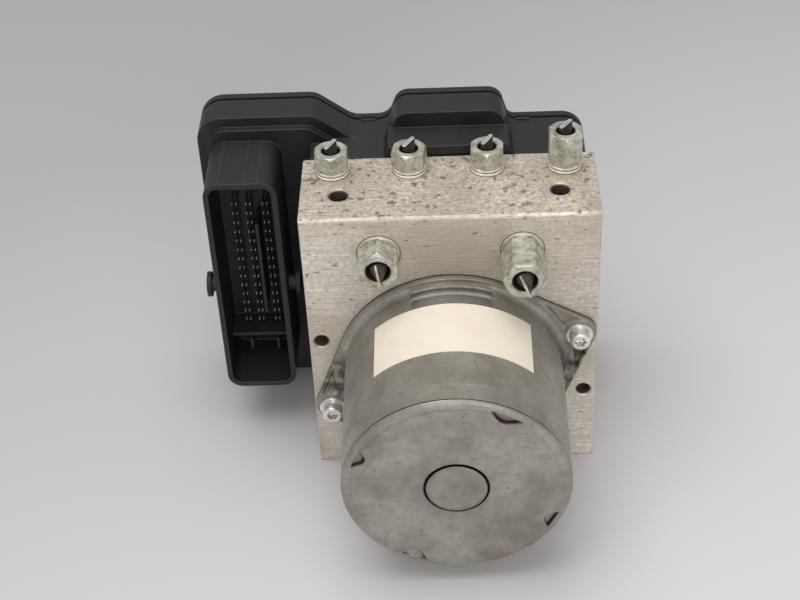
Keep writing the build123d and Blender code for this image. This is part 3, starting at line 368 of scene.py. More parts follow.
def port_shadow_rims(tree, where):
    """Mask of the painted shadow line round each port, where its mouth meets the nut."""
    total = 0.0
    for centre, radius in PORTS:
        line = calc(tree, "COMPARE", distance(tree, where, centre), radius * MM, RIM_LINE * MM)
        total = calc(tree, "MAXIMUM", line, total)
    return total


print("ports with a dark rim:", len(PORTS))


# %% Aluminium of the valve block
def aluminium(name, top, front, bright, shade, pit):
    """Bare metal: one colour on top, one in front, both clouded with shade, lighter with painted
    light towards bright about two corners, darker with painted shade in the front's upper middle,
    and marked with pit, the colour of the pits and of the painted shadow lines round the ports.
    """
    material, tree, shader, where = finish(name, metallic=0.55)
    on_top = ramp(tree, normal_up(tree)[0], 0.5, 0.9)
    lines = use(tree, streaks, Vector=where, Stretch=(0.03, 1.0, 1.0), Size=0.55)
    fine_lines = use(tree, streaks, Vector=where, Stretch=(0.015, 1.0, 1.0), Size=0.2)
    clouds = use(tree, patches, Vector=where, Size=26.0, Low=0.36, High=0.66)
    mottle = use(tree, patches, Vector=where, Size=1.5, Low=0.38, High=0.62)
    spots = use(tree, patches, Vector=where, Size=3.4, Low=0.585, High=0.625)
    flecks = use(tree, patches, Vector=where, Size=1.3, Low=0.61, High=0.66)
    dashes = use(tree, streaks, Vector=where, Stretch=(0.3, 1.0, 1.0), Size=1.0, Low=0.64,
                 High=0.7)
    # painted light: the front is made lighter about two corners
    brightened = calc(tree, "MAXIMUM", *(spot(tree, where, *place) for place in PAINTED_LIGHT_CORNERS))

    tone = mix(tree, on_top, front, top)
    tone = mix(tree, partly(tree, brightened, 0.95), tone, bright)
    # the first mask is painted shade on the front's upper middle
    for mask, amount in ((spot(tree, where, *PAINTED_SHADE_MIDDLE), 0.8),
                         (clouds, mix(tree, brightened, 0.75, 0.25)),
                         (mottle, mix(tree, on_top, 0.55, 0.85)),
                         (lines, 0.5), (fine_lines, 0.4)):
        tone = mix(tree, partly(tree, mask, amount), tone, shade)
    pits_and_shadow_lines = mix(tree, on_top, dashes, calc(tree, "MAXIMUM", spots, flecks))
    # the port rims are painted shadow lines, drawn in the same dark colour as the pits
    pits_and_shadow_lines = calc(tree, "MAXIMUM", pits_and_shadow_lines, port_shadow_rims(tree, where))
    tone = mix(tree, partly(tree, pits_and_shadow_lines, 0.72), tone, pit)
    rough = mix(tree, pits_and_shadow_lines, mix(tree, fine_lines, 0.36, 0.5), 0.8)
    relief = calc(tree, "ADD", calc(tree, "MULTIPLY", pits_and_shadow_lines, -1.5), fine_lines)
    wire(shader, Base_Color=tone, Roughness=rough,
         Normal=use(tree, grain, Vector=where, Size=0.35, Depth=0.4, Height=relief,
                    Round=0.3 * MM))
    return material


block_finish = aluminium("machined_aluminium", top=colour(252, 239, 223),
                         front=colour(224, 218, 211), bright=colour(247, 242, 236),
                         shade=colour(166, 155, 141), pit=colour(92, 80, 66))
print("block finish:", len(block_finish.node_tree.nodes), "nodes")

# %% [markdown]
# ## Zinc-coated steel
#
# The motor can, the nuts and the screws are steel with a zinc coat that has gone dull. A picture
# could show it, but would stretch over the turned pieces, so it is made of noise: a grey base,
# larger clouds a little darker or greener, and small dark specks. The bright and the dull pieces,
# the cut pipes and the inner metals differ only in their values. Some values are painted light:
# the nuts' collars get a painted highlight, the finishes for creases and bores carry painted shade
# with some dirt, the one for the outlet pipes' sides painted shade over their dark coat, and the
# one for the pin shafts painted shade.

# %% Zinc coat
def zinc(name, base, cloud, speck, rough, cloud_size, speck_low, metallic):
    """Grey base, clouds of cloud_size mm, and specks, of which a higher speck_low leaves fewer."""
    base, cloud, speck = (colour(*values) for values in (base, cloud, speck))
    material, tree, shader, where = finish(name, metallic=metallic)
    clouds = use(tree, patches, Vector=where, Size=cloud_size, Low=0.38, High=0.66)
    fine = use(tree, patches, Vector=where, Size=cloud_size / 6, Low=0.4, High=0.7)
    specks = use(tree, patches, Vector=where, Size=1.6, Low=speck_low, High=speck_low + 0.05)
    scratches = use(tree, streaks, Vector=where, Stretch=(0.3, 1.0, 1.0), Size=0.9,
                    Low=speck_low + 0.02, High=speck_low + 0.08)
    tone = mix(tree, clouds, base, cloud)
    for mask, amount, tint in ((fine, 0.4, cloud), (scratches, 0.45, speck), (specks, 0.6, speck)):
        tone = mix(tree, partly(tree, mask, amount), tone, tint)
    wire(shader, Base_Color=tone, Roughness=mix(tree, fine, rough, rough + 0.14),
         Normal=use(tree, grain, Vector=where, Size=0.5, Depth=0.25))
    return material


# name, base, clouds, specks, roughness, size of the clouds, where specks start, metallic
METALS = [
    ("dull_zinc_can", (148, 144, 136), (124, 120, 110), (78, 68, 58), 0.44, 12.0, 0.63, 0.5),
    ("dull_zinc_cap", (149, 144, 138), (118, 113, 105), (78, 68, 58), 0.42, 14.0, 0.64, 0.6),
    # painted highlight for the nuts' collars
    ("zinc_collar_painted_highlight", (240, 236, 226), (206, 200, 186), (120, 108, 90), 0.42, 2.0, 0.66, 0.3),
    ("dull_zinc_nut", (206, 204, 193), (146, 144, 128), (112, 94, 70), 0.4, 3.2, 0.6, 0.6),
    ("cut_pipe_steel", (104, 99, 88), (66, 61, 54), (40, 36, 32), 0.45, 1.6, 0.66, 0.6),
    # the outlet pipes' sides: a dark coat, made darker with painted shade
    ("pipe_coat_and_painted_shade", (46, 44, 42), (26, 25, 24), (90, 84, 76), 0.4, 2.0, 0.66, 0.2),
    # painted shade with some dirt, for creases, joints and recesses
    ("crease_dirt_and_painted_shade", (52, 44, 38), (34, 29, 26), (20, 18, 16), 0.75, 2.0, 0.66, 0.1),
    ("bright_zinc_screw", (226, 225, 220), (186, 184, 178), (130, 126, 120), 0.26, 2.2, 0.66, 0.75),
    # painted shade inside the tapped holes, with some dirt
    ("bore_dirt_and_painted_shade", (62, 54, 47), (44, 38, 33), (24, 21, 18), 0.6, 3.0, 0.66, 0.3),
    # painted shade for the plug pins' shafts
    ("shaded_tin", (96, 94, 90), (70, 68, 66), (50, 48, 46), 0.4, 3.0, 0.66, 0.7),
    ("ground_steel", (180, 180, 182), (160, 160, 163), (120, 120, 122), 0.25, 6.0, 0.72, 0.9),
    ("enamelled_copper", (176, 108, 62), (148, 84, 46), (96, 52, 30), 0.35, 5.0, 0.72, 0.85),
    ("sintered_bronze", (172, 128, 72), (146, 104, 58), (92, 66, 38), 0.45, 3.0, 0.66, 0.8),
]
(can_finish, cap_finish, collar_highlight_finish, nut_finish, pipe_finish, outlet_pipe_coat_and_shade_finish,
 crease_dirt_and_shade_finish, screw_finish, bore_shade_finish, pin_shade_finish, inner_steel, copper_finish, bronze_finish) = [
    zinc(*values) for values in METALS]
print("metal finishes:", len(METALS))

# %% [markdown]
# ## Dirt and painted shade on the motor's shell
#
# Grease and brake dust gather in the flange's webs beside the screws, which a mask about those
# places gives. The painted shade and dirt along a crimp, on a ledge or in a groove follow the shape
# so closely that each vertex carries them as an attribute called soot_and_shade, worked out where
# the piece is made.

# %% Dirt and painted shade on the motor's shell
DIRTY_WEBS = [((42, -19.5, 44), 8, 17), ((-41.5, -19.5, 43), 5, 14)]
tree, where = can_finish.node_tree, coordinates_of(can_finish)
webs = calc(tree, "MAXIMUM", *(spot(tree, where, *place) for place in DIRTY_WEBS))
smears = use(tree, patches, Vector=where, Size=5.0, Low=0.4, High=0.55)
stain(can_finish, calc(tree, "MULTIPLY", webs, smears), colour(50, 44, 38), 0.9)
for material in (can_finish, cap_finish):
    soot_and_shade = add_node(material.node_tree, "ShaderNodeAttribute", attribute_name="soot_and_shade")
    # painted shade and dirt from the vertex attribute darken the can and the end plate
    stain(material, soot_and_shade.outputs["Fac"], colour(24, 20, 17))
print("dirty finishes:", can_finish.name, cap_finish.name)

# %% [markdown]
# ## Moulded plastic, rubber, paper and the rest
#
# The control unit is black glass-filled nylon: a fine even grain, slightly scuffed and dusty where
# it looks up, and paler along its edges, as wear and a painted highlight. A Bevel node finds the
# edges, because its normal differs from the true one only near them. Painted shade darkens the seam
# where
# the housing meets its cover: a mask draws it, so the solid stays as it is. The same recipe with
# other values makes the inner mouldings, the rubber, the board and the label's paper.

# %% Moulded plastic
DUST = colour(150, 146, 140)
EDGE_WEAR_AND_HIGHLIGHT = colour(96, 93, 90)


def moulded(name, base, brightened, rough=0.5, grain_size=0.35, depth=0.3, dust=0.12, edge=0.0,
            specular=0.5):
    """A moulded surface. Edges are rounded and painted paler, as wear and a painted highlight, over
    edge mm, where it isn't 0.
    """
    material, tree, shader, where = finish(name, Specular_IOR_Level=specular)
    scuffs = use(tree, patches, Vector=where, Size=11.0, Low=0.45, High=0.75)
    dots = use(tree, patches, Vector=where, Size=0.9, Low=0.66, High=0.7)
    upward, facing = normal_up(tree)
    tone = mix(tree, partly(tree, scuffs, 0.5), base, brightened)
    for mask in (ramp(tree, upward, 0.3, 1.0), dots):
        tone = mix(tree, partly(tree, mask, dust), tone, DUST)
    if edge:
        bevelled = add_node(tree, "ShaderNodeBevel", {"Radius": edge * MM}, samples=6).outputs[0]
        alike = add_node(tree, "ShaderNodeVectorMath", {0: bevelled, 1: facing},
                         operation="DOT_PRODUCT").outputs["Value"]
        # edges painted paler: a painted highlight, and wear
        edge_wear_and_highlight = partly(tree, ramp(tree, alike, 0.985, 0.86), 0.4)
        tone = mix(tree, edge_wear_and_highlight, tone, EDGE_WEAR_AND_HIGHLIGHT)
    wire(shader, Base_Color=tone, Roughness=mix(tree, scuffs, rough, rough + 0.12),
         Normal=use(tree, grain, Vector=where, Size=grain_size, Depth=depth, Round=edge * MM))
    return material


housing_finish = moulded("black_glass_filled_nylon", colour(18, 18, 20), colour(27, 26, 27),
                         dust=0.03, edge=0.5, specular=0.36)
rubber_finish = moulded("black_rubber", colour(26, 26, 26), colour(36, 35, 34), 0.7)
dark_plastic = moulded("inner_plastic", colour(48, 47, 45), colour(60, 58, 56), dust=0.0)
ferrite_finish = moulded("ferrite", colour(56, 55, 60), colour(70, 68, 72), 0.6, dust=0.0)
board_finish = moulded("solder_resist", colour(30, 76, 50), colour(40, 92, 62), 0.35, dust=0.0)
paper_finish = moulded("satin_label", colour(219, 209, 192), colour(208, 196, 176), 0.6,
                       grain_size=0.6, depth=0.05, dust=0.0)
print("materials:", len(bpy.data.materials))

# %% Painted shade in the seam between the control unit's housing and its cover
COVER_SEAM, SEAM_HALF, SEAM_END = 43.2, 0.55, 0.75
tree = housing_finish.node_tree
depth = add_node(tree, "ShaderNodeSeparateXYZ", {0: coordinates_of(housing_finish)}).outputs["Y"]
seam = near(tree, depth, COVER_SEAM, SEAM_HALF, SEAM_END)
# painted shade: the seam's groove is darkened and made fully rough
stain(housing_finish, seam, colour(2, 2, 2))
shader = tree.nodes["Principled BSDF"]
rough = shader.inputs["Roughness"].links[0].from_socket
wire(shader, Roughness=mix(tree, seam, rough, 1.0))
print("seam at", COVER_SEAM, "mm behind the block's middle")

# %% [markdown]
# ## A finish for every solid
#
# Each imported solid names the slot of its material, so one table is enough. Most inner solids are
# seen only when the module is taken apart, and they share a few plain finishes.

# %% Put a finish on every solid of the frame
FINISHES = {
    "block_aluminium": block_finish, "nut_zinc": nut_finish, "pipe_steel": pipe_finish,
    "can_steel": can_finish, "label_paper": paper_finish, "screw_zinc": screw_finish,
    "bearing_steel": inner_steel, "seal_rubber": rubber_finish, "magnet_ferrite": ferrite_finish,
    "core_steel": inner_steel, "copper": copper_finish, "bush_bronze": bronze_finish,
    "brush_plate_plastic": dark_plastic, "spring_steel": inner_steel, "pin_tin": pin_shade_finish,
    "sleeve_steel": inner_steel, "piston_aluminium": inner_steel, "coil_plastic": dark_plastic,
    "housing_plastic": housing_finish, "board_green": board_finish,
}
for entry in frame["record"]["subparts"]:
    for material_slot in frame["nodes"][entry["node"]].material_slots:
        material_slot.material = FINISHES[entry["material_slot"]]
print("slots with a finish:", len(FINISHES))

# %% [markdown]
# ## Turned and drawn pieces from rings
#
# The can, its end plate, the nuts, the screws and the pipe ends are all close to turned parts. Each
# is built as a stack of rings, from one profile: every ring is a closed line of points, and quads
# join it to the next. A ring's radius may change with the angle, which turns a plain lathe shape
# into a hexagon with a chamfered crown, a flange with ears or a star-shaped socket. Only the rings
# have to be right, and the mesh is closed by joining the last ring to the first or by a cap.

# %% Rings to a mesh
def facing_front(x, z):
    """Moves a piece that points up at the origin onto the block's front face at x, z."""
    return Matrix(((1, 0, 0, x), (0, 0, -1, BLOCK_FRONT), (0, 1, 0, z), (0, 0, 0, 1)))


def ring(steps, radius, height, turn=0.0):
    """One ring of points. radius is a number or a function of the angle, and so is height."""
    points = []
    for step in range(steps):
        angle = 2 * math.pi * step / steps
        r = radius(angle) if callable(radius) else radius
        z = height(angle, r) if callable(height) else height
        points.append(Vector((r * math.cos(angle + turn), r * math.sin(angle + turn), z)))
    return points


def add_rings(mesh, rings, place, materials=None, loop=True):
    """Join rings with quads in mesh. A loop closes last to first; otherwise both ends get a cap."""
    rows = [[mesh.verts.new(place @ point) for point in points] for points in rings]
    count = len(rows[0])
    pairs = list(zip(rows, rows[1:])) + ([(rows[-1], rows[0])] if loop else [])
    for band, (low, high) in enumerate(pairs):
        for step in range(count):
            after = (step + 1) % count
            face = mesh.faces.new((low[step], low[after], high[after], high[step]))
            face.material_index = materials[band] if materials else 0
    if not loop:
        mesh.faces.new(reversed(rows[0]))
        mesh.faces.new(rows[-1])


def smooth_step(value):
    """0 below 0, 1 above 1, and an even curve between."""
    value = min(max(value, 0.0), 1.0)
    return value * value * (3 - 2 * value)


print("a ring of four points:", ring(4, 1.0, 0.0))


# %% Mesh to a finished piece
def link_piece(name, data):
    """Put mesh data into the scene as an object at the origin."""
    piece = bpy.data.objects.new(name, data)
    bpy.context.collection.objects.link(piece)
    return piece


def finish_piece(name, mesh, finishes, nodes, sharp=32):
    """Turn the built mesh, in millimetres, into a smooth piece that stands for the CAD nodes."""
    bmesh.ops.scale(mesh, vec=(MM, MM, MM), verts=mesh.verts)
    bmesh.ops.recalc_face_normals(mesh, faces=mesh.faces)
    data = bpy.data.meshes.new(name)
    mesh.to_mesh(data)
    mesh.free()
    for item in finishes:
        data.materials.append(item)
    data.shade_smooth()
    data.set_sharp_from_angle(angle=math.radians(sharp))
    piece = link_piece(name, data)
    if nodes:
        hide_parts(*nodes)
    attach(piece, "module")
    print(name, len(data.polygons), "faces")
    return piece


# %% [markdown]
# ## Motor can with its flange
#
# The can is deep-drawn from sheet and its flange is pressed: a pad round the can and one under each
# screw stand a little proud of the webs between them, and the cut edge has a slight lip. The
# flange's outline is a disc and two ears held by a tight string, so its edge is worked out from how
# far the disc and the ears reach in each direction. A displaced grid would blur the cut edge, while
# rings of this outline keep it sharp.

# %% Flange outline
EARS = [(43.54, 15.61), (-43.54, -15.61)]
FLANGE_RADIUS, EAR_RADIUS = 41.0, 6.0
DIRECTIONS = [2 * math.pi * n / 1440 for n in range(1440)]
REACHES = [(a, max([FLANGE_RADIUS] + [x * math.cos(a) + z * math.sin(a) + EAR_RADIUS
                                      for x, z in EARS])) for a in DIRECTIONS]
NARROWEST = 0.3  # directions further from the angle than this cosine don't bound the edge


def flange_edge(angle):
    """Distance from the motor's axis to the flange's edge in this direction."""
    return min(reach / math.cos(normal - angle) for normal, reach in REACHES
               if math.cos(normal - angle) > NARROWEST)


STEPS = 288
EDGE = [flange_edge(2 * math.pi * step / STEPS) for step in range(STEPS)]
print("flange edge:", round(min(EDGE), 2), "to", round(max(EDGE), 2), "mm from the axis")

# %% Flange height
WEB_HEIGHT, PAD_RISE, LIP_SHARE = 1.2, 1.4, 0.75
PAD_REACH, EAR_REACH, LIP_WIDTH, SLOPE = 42.7, 6.2, 1.5, 0.6


def edge_at(angle):
    """The flange's edge at one of the ring's steps, from the list that is already worked out."""
    return EDGE[round(angle * STEPS / (2 * math.pi)) % STEPS]


def flange_height(angle, radius):
    """Height of the pressed flange: pads round the can and the screws, webs and an edge lip."""
    x, z = radius * math.cos(angle), radius * math.sin(angle)
    ear = min(math.hypot(x - ex, z - ez) for ex, ez in EARS)
    pad = smooth_step((PAD_REACH - radius) / SLOPE)
    under_screw = smooth_step((EAR_REACH - ear) / SLOPE)
    lip = LIP_SHARE * smooth_step((LIP_WIDTH - (flange_edge(angle) - radius)) / SLOPE)
    return WEB_HEIGHT + PAD_RISE * max(pad, under_screw, lip)


print("flange height on top of the can's root:", flange_height(math.pi / 2, FLANGE_RADIUS), "mm")

# %% Can wall
WALL_RADIUS, WALL_FROM, WALL_LENGTH, TAPER = 38.2, 4.8, 54.8, 0.5
STEP_MIDDLE, STEP_HALF, STEP_BLEND = 90.5, 21.5, 1.5  # degrees about the motor's axis
LEDGES = [(1.1, 8.0, 0.5), (0.9, 5.7, 0.4)]  # how far each stands out, its top and its slope


def can_radius(height):
    """The drawn wall tapers a little towards the end."""
    return WALL_RADIUS - TAPER * (height - WALL_FROM) / WALL_LENGTH


def can_wall(height):
    """A pressed step with two ledges crosses the can's root at the top."""
    def radius(angle):
        across = abs(math.degrees(angle) - STEP_MIDDLE)
        inside = smooth_step((STEP_HALF - across) / STEP_BLEND)
        ledges = sum(rise * smooth_step((top - height) / slope) for rise, top, slope in LEDGES)
        return can_radius(height) + inside * ledges
    return radius


print("wall radius at the foot and at the end:", can_radius(WALL_FROM),
      can_radius(WALL_FROM + WALL_LENGTH))

# %% Can from its rings
INSIDE, FLANGE_TOP, CUT_EDGE = 36.3, 2.6, 0.25
ROOT, FILLET = 40.4, 2.2
FLANGE_RINGS, FILLET_RINGS = 26, 8
WALL_HEIGHTS = [5.0, 5.3, 5.4, 5.5, 5.6, 5.7, 6.4, 7.5, 7.65, 7.8, 7.95, 8.05, 20.0, 40.0, 51.4]
# a fine groove near the end, then the edge rolled in over the end plate: height, dip
END_OF_WALL = [(51.6, 0.0), (51.75, 0.14), (51.9, 0.0), (54.0, 0.0), (58.1, 0.0), (58.22, 0.2),
               (58.34, 0.7)]
rings = [ring(STEPS, INSIDE, 0.0), ring(STEPS, lambda a: edge_at(a) - 0.15, 0.0),
         ring(STEPS, edge_at, 0.15), ring(STEPS, edge_at, 0.8),
         ring(STEPS, edge_at, lambda a, r: flange_height(a, r) - CUT_EDGE),
         ring(STEPS, lambda a: edge_at(a) - CUT_EDGE, flange_height)]
for part in range(1, FLANGE_RINGS + 1):
    rings.append(ring(STEPS, lambda a, t=part / FLANGE_RINGS: edge_at(a) - CUT_EDGE
                      - t * (edge_at(a) - CUT_EDGE - ROOT), flange_height))
for part in range(1, FILLET_RINGS + 1):
    turn_by = math.pi / 2 * part / FILLET_RINGS
    rings.append(ring(STEPS, ROOT - FILLET * math.sin(turn_by),
                      FLANGE_TOP + FILLET * (1 - math.cos(turn_by))))
rings += [ring(STEPS, can_wall(height), height) for height in WALL_HEIGHTS]
rings += [ring(STEPS, can_radius(height) - dip, height) for height, dip in END_OF_WALL]
rings += [ring(STEPS, 37.0, 56.2), ring(STEPS, 35.8, 56.2)]

motor_place = facing_front(0.0, MOTOR_HEIGHT)
mesh = bmesh.new()
# the bands under the flange's cut edge and at the can's open end get painted shade with some dirt
dirty = {1, 2} | set(range(len(rings) - 4, len(rings)))  # under the cut edge, and at the open end
add_rings(mesh, rings, motor_place, [1 if band in dirty else 0 for band in range(len(rings))])
can = finish_piece("motor_can", mesh, [can_finish, crease_dirt_and_shade_finish], ["motor_housing"],
                   sharp=38)

# %% Painted shade and dirt on the ledges of the step
# the ledges cross only some rings of the wall: height of the ring, and how much painted shade and
# dirt it gets
STEP_DARKENING = {5.5: 0.3, 5.6: 0.8, 5.7: 0.8, 6.4: 0.4, 7.5: 0.2, 7.95: 0.7, 8.05: 0.5}
DARKENING_HALF = 20.5


def store_darkening(piece, darkening_at):
    """Store in each vertex the painted shade and dirt at its angle, distance from the motor's axis
    and height.
    """
    to_motor = motor_place.inverted()
    values = []
    for vertex in piece.data.vertices:
        point = to_motor @ (vertex.co / MM)
        values.append(darkening_at(math.atan2(point.y, point.x), math.hypot(point.x, point.y), point.z))
    piece.data.attributes.new("soot_and_shade", "FLOAT", "POINT").data.foreach_set("value", values)
    print(piece.name, "has", sum(value > 0 for value in values), "dirty points")


def step_darkening(angle, _, height):
    """How much painted shade and dirt lies on the step here. It is the same at every distance from
    the axis.
    """
    if abs(math.degrees(angle) - STEP_MIDDLE) < DARKENING_HALF:
        return STEP_DARKENING.get(round(height, 2), 0.0)
    return 0.0


store_darkening(can, step_darkening)

# %% [markdown]
# ## End plate
#
# The plate closes the can and carries the rear bearing in a round boss with a groove about it. Four
# crimps hold it. Each is a D-shaped pocket, pushed in by a punch, that is deep along one side and
# runs out at the other. Cutting them out would leave ragged faces, so the rings are lowered there,
# and the same function gives the painted shade and dirt that lie along the deep side.

# %% Crimps
PLATE_STEPS, PLATE, BOSS = 720, 60.15, 60.5
CRIMP_INNER, CRIMP_OUTER, CRIMP_DEPTH, CRIMP_RISE = 32.1, 35.3, 1.3, 1.1
CRIMP_BOW, CRIMP_SPAN, WALL_BLEND = 2.7, 1.15, 0.3  # the inner side bows out by BOW at each end
OUTLINE_DARKENING, OUTLINE_WIDTH = 0.8, 0.16
# middle and half width in degrees, deep side (-1 inner, 1 outer), width of the painted shade and
# dirt at each end
CRIMPS = [(62.0, 8.0, -1, 1.0, 0.35), (156.3, 5.4, -1, 0.75, 0.7),
          (245.0, 6.3, -1, 0.55, 1.1), (333.7, 5.6, 1, 0.85, 0.8)]


def crimp_at(angle, radius):
    """Depth of the pocket at this place of the plate, and how much painted shade and dirt lies
    there.
    """
    for middle, half, deep, first, last in CRIMPS:
        side = ((math.degrees(angle) - middle + 180) % 360 - 180) / half
        inner = CRIMP_INNER + CRIMP_BOW * side * side
        if abs(side) < CRIMP_SPAN and inner - WALL_BLEND < radius < CRIMP_OUTER + WALL_BLEND:
            from_inner, to_outer = radius - inner, CRIMP_OUTER - radius
            within = (smooth_step(from_inner / WALL_BLEND + 0.5)
                      * smooth_step(to_outer / WALL_BLEND + 0.5))
            reach = from_inner if deep < 0 else to_outer
            run_out = min(max(reach / (CRIMP_OUTER - CRIMP_INNER), 0.0), 1.0)
            width = first + (last - first) * (side + 1) / 2
            outline = OUTLINE_DARKENING * smooth_step(1.6 - abs(from_inner) / OUTLINE_WIDTH)
            return (within * (CRIMP_DEPTH - CRIMP_RISE * run_out),
                    max(within * smooth_step(1.35 - reach / width), outline))
    return 0.0, 0.0


def lowered(base):
    """A ring's height that follows base and dips into the crimps."""
    return lambda angle, radius: base - crimp_at(angle, radius)[0]


print("depth in the middle of the first crimp:",
      round(crimp_at(math.radians(CRIMPS[0][0]), CRIMP_INNER + 1)[0], 2), "mm")

# %% End plate from its rings
CRIMP_RINGS, RIM_RINGS = 21, 24
RIM_FROM, RIM_WIDTH, RIM_DROP, RIM_SWELL = 34.0, 3.72, 1.5, 0.12
boss_and_plate = [(0.6, 60.1), (1.0, 60.32), (6.0, 60.36), (8.6, 60.42), (9.6, BOSS),
                  (9.95, 60.46), (10.05, 60.2), (10.1, 58.9), (10.6, 58.9), (10.63, 59.95),
                  (10.8, 60.1), (10.95, 60.13), (11.4, PLATE), (20.0, PLATE), (31.0, PLATE)]
rim_and_inside = [(37.6, 58.52), (37.05, 58.48), (37.05, 56.25), (35.7, 56.25), (35.7, 53.7),
                  (33.9, 53.7), (33.9, 56.2), (9.0, 56.2), (9.0, 52.0), (7.0, 52.0), (7.0, 58.5),
                  (0.6, 58.5)]
rings = [ring(PLATE_STEPS, r, z) for r, z in boss_and_plate]
rings += [ring(PLATE_STEPS, 31.6 + 0.12 * part, lowered(PLATE)) for part in range(CRIMP_RINGS)]
for part in range(1, RIM_RINGS + 1):
    turn_by = math.pi / 2 * part / RIM_RINGS
    rings.append(ring(PLATE_STEPS, RIM_FROM + RIM_WIDTH * math.sin(turn_by),
                      lowered(PLATE + RIM_SWELL * math.sin(2 * turn_by)
                              - RIM_DROP * (1 - math.cos(turn_by)))))
rings += [ring(PLATE_STEPS, r, z) for r, z in rim_and_inside]
mesh = bmesh.new()
add_rings(mesh, rings, motor_place, loop=False)
cap = finish_piece("motor_cap", mesh, [cap_finish], ["motor_end_plate"])


# %% Painted shade and dirt on the end plate
GROOVE_FROM, GROOVE_TO, BOSS_EDGE = 9.97, 10.85, 9.0
UNDER_RIM_FROM, UNDER_RIM_BELOW = 36.9, 58.8
GROOVE_HAZE, CRIMP_HAZE = (10.4, 2.2, 0.42), (34.5, 0.9, 0.16)  # middle, half width, strength


def haze(radius, middle, half, strength):
    """A soft ring of thin dirt and painted shade."""
    return strength * smooth_step(1 - abs(radius - middle) / half)


def plate_darkening(angle, radius, height):
    """All painted shade and dirt in the boss groove and under the rim, haze beside them, and what
    the crimps hold.
    """
    under_rim = radius > UNDER_RIM_FROM and height < UNDER_RIM_BELOW
    if under_rim or GROOVE_FROM < radius < GROOVE_TO:
        return 1.0
    # painted shade: the haze by the groove is darker towards the lower side, and the haze by the
    # crimps lies on the upper left
    by_groove = haze(radius, *GROOVE_HAZE) * (0.6 - 0.4 * math.sin(angle + 0.6))
    by_crimps = haze(radius, *CRIMP_HAZE) * (0.5 + 0.5 * math.sin(angle - 0.5))
    return max(crimp_at(angle, radius)[1], by_groove if radius > BOSS_EDGE else 0.0, by_crimps)


store_darkening(cap, plate_darkening)

# %% [markdown]
# ## Label
#
# A cream paper label lies on the top of the can, bare here. A flat sheet could be wrapped on with a
# modifier, but a thin closed patch that follows the can's slight cone is simple to write down.

# %% Label
ACROSS, ALONG = 56, 6
LABEL_FROM, LABEL_SPAN = 46.9, 86.2  # degrees about the motor's axis
LABEL_LOW, LABEL_TALL = 12.3, 24.0
mesh = bmesh.new()
corners = {}
for layer, lift in enumerate((0.02, 0.14)):
    for i in range(ACROSS + 1):
        angle = math.radians(LABEL_FROM + LABEL_SPAN * i / ACROSS)
        for j in range(ALONG + 1):
            height = LABEL_LOW + LABEL_TALL * j / ALONG
            radius = can_radius(height) + lift
            corners[layer, i, j] = mesh.verts.new(motor_place @ Vector(
                (radius * math.cos(angle), radius * math.sin(angle), height)))
faces = [[(layer, i, j), (layer, i + 1, j), (layer, i + 1, j + 1), (layer, i, j + 1)]
         for layer in (0, 1) for i in range(ACROSS) for j in range(ALONG)]
faces += [[(0, i, j), (0, i + 1, j), (1, i + 1, j), (1, i, j)]
          for i in range(ACROSS) for j in (0, ALONG)]
faces += [[(0, i, j), (0, i, j + 1), (1, i, j + 1), (1, i, j)]
          for i in (0, ACROSS) for j in range(ALONG)]
for face in faces:
    mesh.faces.new([corners[corner] for corner in face])
finish_piece("can_label", mesh, [paper_finish], ["motor_label"])

# %% [markdown]
# ## Tube nuts
#
# A tube nut is turned from hexagon bar. Turning its crown to a cone leaves curved edges on the
# flats. Cutting a hexagon with a cone would do it, but taking the smaller of two radii, the
# hexagon's at that angle and the cone's at that height, needs no cut. The collar's rings at the
# foot get a painted highlight, and the nut's mouth and any groove between the rings get painted
# shade.

# %% Nut shape
def hexagon(flats, limit):
    """Radius of a hexagon of that width across its flats, no larger than limit."""
    def radius(angle):
        side = (angle + math.pi / 6) % (math.pi / 3) - math.pi / 6
        return min(flats / 2 / math.cos(side), limit)
    return radius


NUT_STEPS, NUT_END, PIPE_GAP = 96, -6.0, 0.12
print("corner of a hexagon 11 mm across its flats:", round(hexagon(11.0, 9.0)(math.pi / 6), 2))


def add_nut(mesh, place, height, turn, *, flats, foot, shank, mouth, pipe, brightened, groove):
    """Add a tube nut that points up from place, as closed rings.

    The first brightened bands of the foot get a painted highlight, and the bands in groove and the
    mouth get painted shade.
    """
    half, low = flats / 2, foot[-1][1] + 0.2
    crown = [(half + 0.9 - 1.0 * t ** 1.6, height - 1.15 + 1.15 * t)
             for t in (0.0, 0.2, 0.4, 0.6, 0.8, 1.0)]
    chamfer = [(half - 0.2, low), (half + 0.25, low + 0.25), (half + 0.7, low + 0.65),
               (half + 1.2, low + 1.15)]
    opening = [(mouth + 0.35, height + 0.02), (mouth, height - 0.35), (mouth, height * 0.25),
               (pipe + PIPE_GAP, height * 0.2), (pipe + PIPE_GAP, NUT_END)]
    rings = [ring(NUT_STEPS, r, z, turn) for r, z in [(shank, NUT_END), (shank, -0.05)] + foot]
    rings += [ring(NUT_STEPS, hexagon(flats, r), z, turn) for r, z in chamfer + crown]
    rings += [ring(NUT_STEPS, r, z, turn) for r, z in opening]
    # the mouth and the groove bands get painted shade
    shaded_from = len(rings) - len(opening) + 1
    bands = [2 if band >= shaded_from or band in groove else 1 if 1 <= band <= brightened else 0
             for band in range(len(rings))]
    add_rings(mesh, rings, place, bands)


